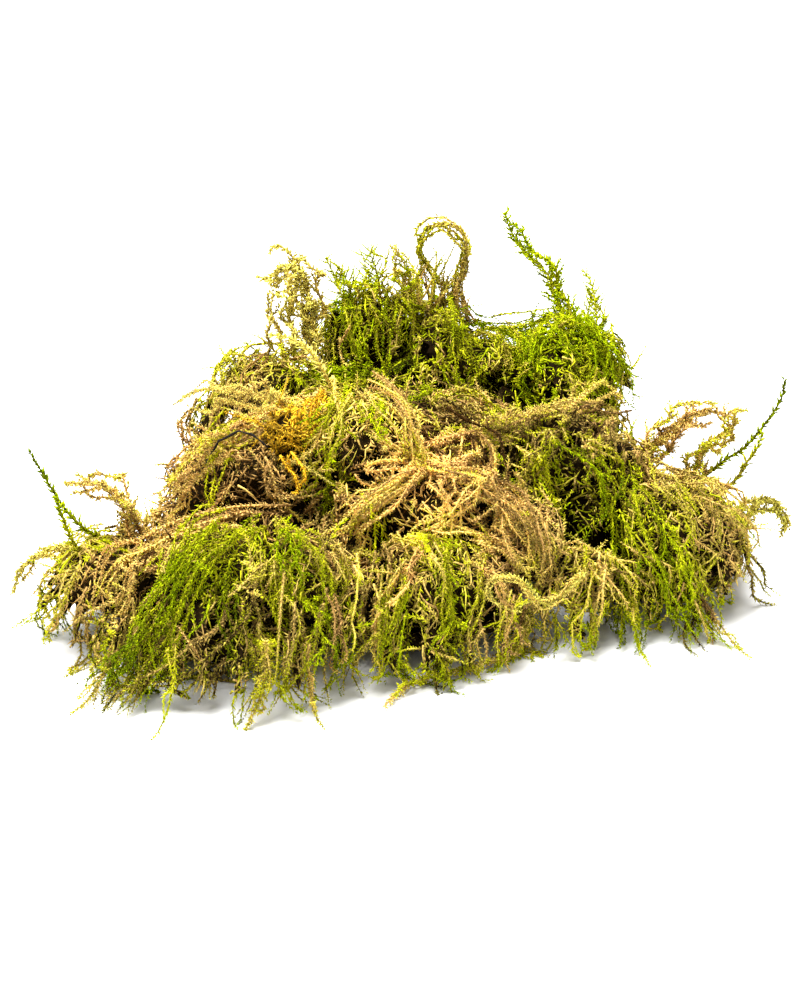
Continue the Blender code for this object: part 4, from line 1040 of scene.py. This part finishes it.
class Value:
    """A socket of a material, with its maths written as Python expressions."""

    def __init__(self, nodes, socket):
        self.nodes, self.socket = nodes, socket

    def maths(self, operation, first, second):
        return self.nodes.make("ShaderNodeMath", {"operation": operation}, {0: first, 1: second})

    def __add__(self, other):
        return self.maths("ADD", self, other)

    def __sub__(self, other):
        return self.maths("SUBTRACT", self, other)

    def __rsub__(self, other):
        return self.maths("SUBTRACT", other, self)

    def __mul__(self, other):
        return self.maths("MULTIPLY", self, other)

    __radd__ = __add__
    __rmul__ = __mul__

    def clamped(self):
        return self.nodes.make("ShaderNodeClamp", {}, {"Value": self})


class Nodes:
    """The nodes of one material."""

    def __init__(self, name):
        self.material = bpy.data.materials.new(name)
        self.material.use_nodes = True
        self.tree = self.material.node_tree
        self.shader = self.tree.nodes["Principled BSDF"]

    def make(self, kind, settings, inputs, output=0):
        """Adds a node, sets it up, and gives one of its outputs."""
        node = self.tree.nodes.new(kind)
        for key, value in settings.items():
            if key == "stops":
                self.set_stops(node, value)
            else:
                setattr(node, key, value)
        for key, value in inputs.items():
            self.feed(node.inputs[key], value)
        return Value(self, node.outputs[output])

    def set_stops(self, node, stops):
        elements = node.color_ramp.elements
        while len(elements) < len(stops):
            elements.new(1.0)
        for element, (place, colour) in zip(elements, stops):
            element.position = place
            element.color = (*colour, 1.0)

    def feed(self, socket, value):
        if isinstance(value, Value):
            self.tree.links.new(value.socket, socket)
        else:
            socket.default_value = value

    def pattern(self, scale, detail=2.0):
        """Noise over the object's own coordinates, in waves to the metre."""
        place = self.make("ShaderNodeTexCoord", {}, {}, "Object")
        return self.make("ShaderNodeTexNoise", {}, {"Vector": place, "Scale": scale, "Detail": detail})

    def attribute(self, name):
        return self.make("ShaderNodeAttribute", {"attribute_name": name}, {}, "Fac")

    def mix(self, share, first, second, blend="MIX"):
        """One colour mixed with another."""
        settings = {"data_type": "RGBA", "blend_type": blend}
        return self.make("ShaderNodeMix", settings, {0: share, 6: first, 7: second}, 2)

    def finish(self, **inputs):
        """Feeds the shader's own sockets, and gives the material."""
        for key, value in inputs.items():
            self.feed(self.shader.inputs[key.replace("_", " ")], value)
        return self.material


WIDE, FINE, GRAIN = 95.0, 900.0, 2600.0      # the patterns on the leaves, in waves to the metre
BARK, FLOOR_GRAIN = 1500.0, 30.0             # and on the twig and the floor
MOTTLE = 0.16                    # how much the age that is shown wanders over the leaves
PAINTED_SHADE_SKY = 3.0                   # painted shade: leaves that see less of the sky than a third are painted darker, towards umber
# how far the painted shade goes towards umber
PAINTED_SHADE_SHARE = 0.8
LIGHT_SHARE = 0.55               # how strongly a leaf's lightness shows
EVEN_LIGHT = 0.12                # how much brighter than its colour a leaf is at a lightness of 0
LIGHT_GRAIN, DARK_GRAIN = 1.4, 2.0           # how strongly the grain shows in the light and the dark
DARK_MOTTLE, BLACK_MOTTLE = 0.8, 3.0         # and the fine pattern in the dark and the black
DARK_UMBER = 0.6                 # the dark's colour against umber
BLACKEST = -1.3                  # lightness from which it turns black
BLACK = (0.012, 0.007, 0.002, 1.0)
LEAF_ROUGHNESS, BED_ROUGHNESS = 0.8, 0.88
LEAF_SHINE, BARK_SHINE = 0.04, 0.2


def moss_material(name, stops, umber, roughness):
    """Leaves coloured by their age, mottled, painted darker deep in the clump as shade, and lighter at the
    leaf tips.
    """
    nodes = Nodes(name)
    age, light, sky = (nodes.attribute(key) for key in ("age", "light", "open_sky"))
    wide, fine = nodes.pattern(WIDE), nodes.pattern(FINE)
    grain = nodes.pattern(GRAIN) - 0.5
    years = age + (wide - 0.5) * MOTTLE * 2 + (fine - 0.5) * MOTTLE
    colour = nodes.make("ShaderNodeValToRGB", {"stops": stops}, {"Fac": years.clamped()})
    # painted shade: the less of the sky a leaf sees, the more it is mixed towards umber
    colour = nodes.mix((1 - sky * PAINTED_SHADE_SKY).clamped() * PAINTED_SHADE_SHARE, colour, (*umber, 1.0))
    lighter = (light * LIGHT_SHARE + EVEN_LIGHT + grain * LIGHT_GRAIN).clamped()
    colour = nodes.mix(lighter, colour, colour, "ADD")
    darker = (0 - light * LIGHT_SHARE + (0.5 - fine) * DARK_MOTTLE - grain * DARK_GRAIN).clamped()
    colour = nodes.mix(darker, colour, (*[part * DARK_UMBER for part in umber], 1.0))
    black = (BLACKEST - light + (0.5 - fine) * BLACK_MOTTLE - grain * DARK_GRAIN).clamped()
    colour = nodes.mix(black, colour, BLACK)
    bump = nodes.make("ShaderNodeBump", {}, {"Strength": 0.25, "Distance": 0.05 * MM, "Height": fine})
    return nodes.finish(Base_Color=colour, Roughness=(fine * 0.2 + (roughness - 0.1)).clamped(), Normal=bump,
                        Specular_IOR_Level=LEAF_SHINE)


def material_for(context, slot):
    """The material of one slot, made once."""
    name = slot + "_leaves"
    found = bpy.data.materials.get(name)
    if found:
        return found
    colours = context.scene.moss_colours
    deep, fresh, lime, straw, tan, umber, gold, pale = (
        tuple(getattr(colours, key))
        for key in ("deep_green", "fresh_green", "lime", "straw", "tan", "umber", "gold", "pale"))
    life = ((0.0, deep), (0.22, fresh), (0.46, lime), (0.64, straw), (0.82, tan), (1.0, umber))
    golden = ((0.0, lime), (0.3, gold), (0.7, gold), (1.0, umber))
    bleached = ((0.0, fresh), (0.4, pale), (0.75, straw), (1.0, tan))
    stops = {"golden_moss": golden, "pale_moss": bleached}.get(slot, life)
    return moss_material(name, stops, umber, BED_ROUGHNESS if slot == "old_growth" else LEAF_ROUGHNESS)


def dress(context, piece, slot, nodes):
    """Gives a finished piece its material, chosen by its slot, and its body, and hides the nodes it stands
    for.
    """
    piece.data.materials.append(material_for(context, slot))
    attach(piece, BODY)
    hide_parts(*nodes)


# Hearts: how deep under the skin, and how high over the floor
BED_HEART = (2.6 * MM, 1.0 * MM)
TUFT_HEART = (2.4 * MM, 0.3 * MM)
BURIED = 0.04                    # faces that see less of the sky than this bear no moss
OPEN_GAIN = 2.5                  # how fast it thickens with the sky they see
UNDERSIDE_TOP = 3 * MM           # the faces that the clump rests on lie below this
UNDERSIDE_SKY = 0.35             # share of the sky that counts as seen by them

# How much of the old growth's mat each of its pieces has
BED_COVERS = {"old_growth_middle": 0.95, "old_growth_front": 0.95, "old_growth_rear": 0.8,
              "old_growth_underside": 0.4}


def bed_part(skin, name):
    """Which faces of the old growth one of its pieces covers, as ones and noughts."""
    y, facing = skin.centres[:, 1], skin.normals[:, 2]
    parts = {
        "old_growth_underside": facing <= UNDERSIDE,
        "old_growth_front": (facing > UNDERSIDE) & (y <= FRONT),
        "old_growth_middle": (facing > UNDERSIDE) & (y > FRONT) & (y < REAR),
        "old_growth_rear": (facing > UNDERSIDE) & (y >= REAR),
    }
    return parts[name].astype(float)


def open_weights(sky):
    """How much moss grows on faces, by the sky they see: none where they are buried."""
    return np.clip(sky * OPEN_GAIN, 0, 1) * (sky > BURIED)


class MOSS_OT_old_growth(bpy.types.Operator):
    """Grows the matted ropes of the old growth, in four pieces"""
    bl_idname = "moss.old_growth"
    bl_label = "Old growth"

    def execute(self, context):
        skin = SKINS["old_growth"]
        sky = face_openness(skin)
        weights = open_weights(sky)
        under = (skin.normals[:, 2] < UNDERSIDE) & (skin.centres[:, 2] < UNDERSIDE_TOP)
        weights[under] = context.scene.moss_growth.underside
        sky[under] = UNDERSIDE_SKY
        for name, cover in BED_COVERS.items():
            mesh = MossMesh(name)
            if name == "old_growth_middle":
                mesh.add_heart(skin, *BED_HEART)
                add_streams(mesh, "old_growth", leaf_kinds(context))
            add_mat(mesh, skin, weights * bed_part(skin, name) * cover, sky, 1, context)
            dress(context, mesh.build(), "old_growth", ["old_growth"])
        return {"FINISHED"}


class TuftGrower:
    """Grows each tuft of one kind: its heart painted dark as shade, matted ropes over it, and the streams
    laid on top.
    """
    slot = ""
    tufts = {}                   # name: share of the living ropes that branch

    def execute(self, context):
        for name, feathering in self.tufts.items():
            mesh = MossMesh(name + "_leaves")
            skin = SKINS[name]
            sky = face_openness(skin)
            mesh.add_heart(skin, *TUFT_HEART)
            add_mat(mesh, skin, open_weights(sky), sky, len(name), context, feathering)
            add_streams(mesh, name, leaf_kinds(context))
            dress(context, mesh.build(), self.slot, [name])
        return {"FINISHED"}


class MOSS_OT_green_tufts(TuftGrower, bpy.types.Operator):
    """Grows the living green tufts"""
    bl_idname = "moss.green_tufts"
    bl_label = "Green tufts"
    slot = "green_moss"
    tufts = {"front_left_tuft": 0.15, "front_middle_tuft": 0.10, "inner_right_tuft": 0.25, "right_tuft": 0.12,
             "lower_right_tuft": 0.15, "rear_right_tuft": 0.20, "rear_left_tuft": 0.15, "frond_tuft": 0.6,
             "left_wing_tuft": 0.10}


class MOSS_OT_olive_tufts(TuftGrower, bpy.types.Operator):
    """Grows the olive tufts, half dried"""
    bl_idname = "moss.olive_tufts"
    bl_label = "Olive tufts"
    slot = "olive_moss"
    tufts = {"rear_middle_tuft": 0.1, "left_shoulder_tuft": 0.1}


class MOSS_OT_straw_mound(TuftGrower, bpy.types.Operator):
    """Grows the dried straw mound in the middle"""
    bl_idname = "moss.straw_mound"
    bl_label = "Straw mound"
    slot = "straw_moss"
    tufts = {"straw_mound": 0.0}


class MOSS_OT_golden_tuft(TuftGrower, bpy.types.Operator):
    """Grows the small golden tuft"""
    bl_idname = "moss.golden_tuft"
    bl_label = "Golden tuft"
    slot = "golden_moss"
    tufts = {"golden_tuft": 0.3}


ROUTE_STEP = 0.8 * MM
YOUNG, YOUNG_TONE = 0.2, -0.5    # single shoots younger than this are darker
ROUTE_REACH = 3.0                # over how many steps a solid's corner draws a route to it
SHOOT_CLOSENESS, SHOOT_LEAF = 0.8, 1.1       # a single shoot's leaf spacing and size, against a rope's
SHOOT_ROOT_AGE, SHOOT_TIP_AGE = 0.2, -0.05   # its root and tip, against its middle
SHOOT_SPREADS = (1.2, 1.0, 0.7)  # how far further strands spread at its root, middle and tip
SHOOT_LENGTHS = (0.8, 1.0)       # shortest and longest of them, against the route
SHOOT_AGES, SHOOT_TONES = 0.07, 0.2          # how much they differ in age and lightness


def settled_route(name):
    """A shoot's route, moved onto the middle of its solid."""
    line = smooth_line(SHOOT_ROUTES[name], ROUTE_STEP)
    solid = Skin([name]).points
    away = np.linalg.norm(solid[:, None] - line[None], axis=2)
    nearest = away.argmin(1)
    weight = np.exp(-((np.arange(len(line))[:, None] - nearest[None]) / ROUTE_REACH)**2 / 2)
    total = weight.sum(1, keepdims=True)
    offset = (weight @ (solid - line[nearest])) / np.maximum(total, 1e-6)
    return line + offset * np.clip(total, 0, 1)


class ShootGrower:
    """Grows the single shoots of one kind along their routes."""
    piece_name = ""
    slot = ""
    shoots = {}                  # name: age, thickness, longest branch, strands, how far they spread, in mm

    def execute(self, context):
        kinds = leaf_kinds(context)
        stem = context.scene.moss_leaves.shoot_radius
        mesh = MossMesh(self.piece_name)
        chance = mesh.chance
        for name, (age, thickness, branch, strands, width) in self.shoots.items():
            route = settled_route(name)
            leaves = kinds[0] if age < LIVING_SHOOT else kinds[1]
            leaves = leaves._replace(length=leaves.length * SHOOT_LEAF, width=leaves.width * SHOOT_LEAF,
                                     spacing=leaves.spacing * SHOOT_CLOSENESS, stem=stem)
            for order in range(strands):
                line = spread(route, [width * MM * (order > 0) * part for part in SHOOT_SPREADS], chance)
                if order:
                    line = line[:max(4, int(len(line) * chance.uniform(*SHOOT_LENGTHS)))]
                years = age + chance.normal(0, SHOOT_AGES) * (order > 0)
                seen = sky_along(line)
                ages = (years + SHOOT_ROOT_AGE, years + SHOOT_TIP_AGE)
                tone = chance.normal(YOUNG_TONE if age < YOUNG else 0.0, SHOOT_TONES)
                mesh.add_shoot(line, leaves, ages, seen, thickness, tone)
                if branch:
                    add_branches(mesh, line, leaves, years, seen, branch * MM, thickness)
        dress(context, mesh.build(), self.slot, list(self.shoots))
        return {"FINISHED"}


class MOSS_OT_green_shoots(ShootGrower, bpy.types.Operator):
    """Grows the living single shoots"""
    bl_idname = "moss.green_shoots"
    bl_label = "Green shoots"
    piece_name = "green_shoots"
    slot = "green_moss"
    shoots = {"rear_tall_shoot": (0.30, 1.4, 3.5, 2, 0.6), "rear_feather_shoot": (0.34, 0.9, 4.5, 3, 1.6),
              "rear_feathery_shoot": (0.36, 0.9, 5.0, 3, 2.2), "rear_upright_shoot": (0.36, 0.9, 5.0, 4, 2.2),
              "front_left_drip": (0.34, 1.0, 0, 2, 0.7), "right_drip": (0.36, 1.0, 0, 2, 0.6)}


class MOSS_OT_olive_shoots(ShootGrower, bpy.types.Operator):
    """Grows the olive single shoots"""
    bl_idname = "moss.olive_shoots"
    bl_label = "Olive shoots"
    piece_name = "olive_shoots"
    slot = "olive_moss"
    shoots = {"left_long_shoot": (0.12, 1.6, 0, 1, 0), "left_side_shoot": (0.26, 1.6, 0, 1, 0),
              "right_long_shoot": (0.12, 1.6, 0, 1, 0), "right_side_shoot": (0.34, 1.7, 0, 1, 0),
              "rear_ring_shoot": (0.42, 1.2, 0, 6, 0.8), "rear_inner_shoot": (0.54, 0.9, 2.5, 5, 2.2),
              "low_left_trail": (0.50, 0.95, 0, 3, 1.2), "right_trail": (0.50, 0.9, 0, 2, 0.8)}


class MOSS_OT_straw_strands(ShootGrower, bpy.types.Operator):
    """Grows the dried single strands"""
    bl_idname = "moss.straw_strands"
    bl_label = "Straw strands"
    piece_name = "straw_strands"
    slot = "straw_moss"
    shoots = {"left_hanging_strand": (0.72, 0.95, 0, 3, 1.0), "left_bridge_strand": (0.68, 1.0, 2.0, 5, 1.6),
              "left_wing_strand": (0.70, 1.2, 2.5, 5, 1.8), "right_wing_strand": (0.71, 1.25, 3.0, 6, 2.0),
              "right_curl": (0.54, 1.3, 2.0, 4, 1.2), "front_drip": (0.56, 1.0, 0, 2, 0.8),
              "front_fork": (0.52, 1.0, 2.5, 3, 1.5), "front_trail": (0.66, 1.0, 2.5, 2, 1.0),
              "crest_strand": (0.60, 0.95, 2.0, 3, 1.9)}


class MOSS_OT_pale_curls(ShootGrower, bpy.types.Operator):
    """Grows the bleached curls"""
    bl_idname = "moss.pale_curls"
    bl_label = "Pale curls"
    piece_name = "pale_curls"
    slot = "pale_moss"
    shoots = {"rear_left_curl": (0.54, 1.5, 2.0, 7, 2.0), "rear_low_curl": (0.50, 1.4, 0, 4, 1.6),
              "feather_arch": (0.42, 1.5, 0, 1, 0), "upper_left_arch": (0.66, 0.85, 2.0, 5, 2.0),
              "far_left_tip": (0.50, 1.3, 2.0, 3, 0.9), "far_right_tip": (0.55, 1.5, 2.0, 3, 0.9),
              "pale_curl": (0.42, 0.85, 0, 4, 0.6), "hollow_stalk": (0.50, 0.8, 0, 1, 0)}


TWIG_RADIUS = 0.33 * MM
TWIG_TAPER = 0.4
TWIG_SIDES = 8
TWIG_STRETCH = 4                 # rings to each straight stretch
TWIG_KINKS = 0.12 * MM
TWIG_KNOTS = 0.22                # how much it swells at its knots


class MOSS_OT_dark_twig(bpy.types.Operator):
    """Models the bare dark twig caught in the top of the bed"""
    bl_idname = "moss.dark_twig"
    bl_label = "Dark twig"

    def execute(self, context):
        mesh = MossMesh("bare_twig")
        route = np.array(SHOOT_ROUTES["dark_twig"]) * MM
        line = np.concatenate([a + (b - a) * np.linspace(0, 1, TWIG_STRETCH, endpoint=False)[:, None]
                               for a, b in zip(route, route[1:])] + [route[-1:]])
        line = line + mesh.chance.normal(0, TWIG_KINKS, line.shape)
        ahead = unit(np.gradient(line, axis=0))
        across = unit(np.cross(ahead, (0.0, 0.3, 1.0)))
        side = np.cross(ahead, across)
        share = np.linspace(0, 1, len(line))
        knots = 1 + TWIG_KNOTS * np.sin(share * 19) + mesh.chance.normal(0, 0.06, len(line))
        radii = TWIG_RADIUS * (1 - TWIG_TAPER * share) * knots
        turn = np.arange(TWIG_SIDES) * 2 * math.pi / TWIG_SIDES
        ring = across[:, None] * np.cos(turn)[:, None] + side[:, None] * np.sin(turn)[:, None]
        rings = (line[:, None] + ring * radii[:, None, None]).reshape(-1, 3)
        first, last = len(rings), len(rings) + 1
        final = first - TWIG_SIDES
        faces = []
        for k in range(TWIG_SIDES):
            after = (k + 1) % TWIG_SIDES
            for start in range(0, final, TWIG_SIDES):
                a, b = start + k, start + after
                faces += [(a, b, b + TWIG_SIDES), (a, b + TWIG_SIDES, a + TWIG_SIDES)]
            faces += [(first, after, k), (last, final + k, final + after)]
        mesh.add(np.concatenate([rings, line[:1], line[-1:]]), np.array(faces), 1.0, 0.0, 1.0)
        piece = mesh.build()
        nodes = Nodes("twig_bark")
        bark = nodes.pattern(BARK, 3.0)
        twig = tuple(context.scene.moss_colours.twig)
        colour = nodes.mix(bark, (*twig, 1.0), (*[part * 2.0 for part in twig], 1.0))
        bump = nodes.make("ShaderNodeBump", {}, {"Strength": 0.6, "Distance": 0.1 * MM, "Height": bark})
        piece.data.materials.append(nodes.finish(Base_Color=colour, Roughness=bark * 0.3 + 0.6, Normal=bump,
                                                 Specular_IOR_Level=BARK_SHINE))
        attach(piece, BODY)
        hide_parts("dark_twig")
        return {"FINISHED"}


FLOOR_SIZE = 6.0
MIDDLE = Vector((-1.8, 0, 14.4)) * MM        # what the lamp and the camera look at
KEY_PLACE = (-0.20, 0.10, 1.0)
KEY_SIZE = 0.85


class MOSS_OT_stage(bpy.types.Operator):
    """Sets up the pale floor, the soft light and the camera"""
    bl_idname = "moss.stage"
    bl_label = "Stage"

    def execute(self, context):
        stage = context.scene.moss_stage
        bpy.ops.object.select_all(action="DESELECT")
        bpy.ops.mesh.primitive_plane_add(size=FLOOR_SIZE, location=(0, 0, 0))
        floor = context.active_object
        floor.name = "pale_floor"
        nodes = Nodes("floor_paint")
        pale = tuple(stage.floor_colour)
        colour = nodes.mix(nodes.pattern(FLOOR_GRAIN), (*pale, 1.0), (*[part * 0.985 for part in pale], 1.0))
        floor.data.materials.append(nodes.finish(Base_Color=colour, Roughness=0.9))

        world = bpy.data.worlds.new("even_light")
        world.use_nodes = True
        background = world.node_tree.nodes["Background"]
        background.inputs["Color"].default_value = (1, 1, 1, 1)
        background.inputs["Strength"].default_value = stage.sky
        context.scene.world = world

        bpy.ops.object.light_add(type="AREA", location=KEY_PLACE)
        key = context.active_object
        key.data.shape = "DISK"
        key.data.size = KEY_SIZE
        key.data.energy = stage.key
        key.rotation_euler = (MIDDLE - key.location).to_track_quat("-Z", "Y").to_euler()

        height, back = math.sin(stage.camera_elevation), -math.cos(stage.camera_elevation)
        bpy.ops.object.camera_add(location=MIDDLE + Vector((0, back, height)) * stage.camera_distance)
        camera = context.active_object
        camera.rotation_euler = (MIDDLE - camera.location).to_track_quat("-Z", "Y").to_euler()
        camera.data.lens = stage.lens
        camera.data.sensor_width = 36.0
        camera.data.clip_start = 0.01
        context.scene.camera = camera
        context.scene.view_settings.view_transform = "Standard"
        return {"FINISHED"}


OPERATORS = (MOSS_OT_stage, MOSS_OT_old_growth, MOSS_OT_green_tufts, MOSS_OT_olive_tufts, MOSS_OT_straw_mound,
             MOSS_OT_golden_tuft, MOSS_OT_green_shoots, MOSS_OT_olive_shoots, MOSS_OT_straw_strands,
             MOSS_OT_pale_curls, MOSS_OT_dark_twig)
GROUPS = {"moss_leaves": MossLeaves, "moss_growth": MossGrowth, "moss_colours": MossColours,
          "moss_stage": MossStage}


class MOSS_PT_panel(bpy.types.Panel):
    """Lists what the clump is made of"""
    bl_idname = "MOSS_PT_panel"
    bl_label = "Moss clump"
    bl_space_type = "VIEW_3D"
    bl_region_type = "UI"
    bl_category = "Moss"

    def draw(self, context):
        for name, group in GROUPS.items():
            box = self.layout.box()
            box.label(text=group.__doc__)
            for key in group.__annotations__:
                box.prop(getattr(context.scene, name), key)
        for operator in OPERATORS:
            self.layout.operator(operator.bl_idname)


def register():
    for group in GROUPS.values():
        bpy.utils.register_class(group)
    for name, group in GROUPS.items():
        setattr(bpy.types.Scene, name, PointerProperty(type=group))
    for operator in OPERATORS:
        bpy.utils.register_class(operator)
    bpy.utils.register_class(MOSS_PT_panel)


def unregister():
    bpy.utils.unregister_class(MOSS_PT_panel)
    for operator in reversed(OPERATORS):
        bpy.utils.unregister_class(operator)
    for name, group in GROUPS.items():
        delattr(bpy.types.Scene, name)
        bpy.utils.unregister_class(group)


def main():
    register()
    bpy.ops.moss.stage()
    bpy.ops.moss.old_growth()
    bpy.ops.moss.green_tufts()
    bpy.ops.moss.olive_tufts()
    bpy.ops.moss.straw_mound()
    bpy.ops.moss.golden_tuft()
    bpy.ops.moss.green_shoots()
    bpy.ops.moss.olive_shoots()
    bpy.ops.moss.straw_strands()
    bpy.ops.moss.pale_curls()
    bpy.ops.moss.dark_twig()


if __name__ == "__main__":
    main()
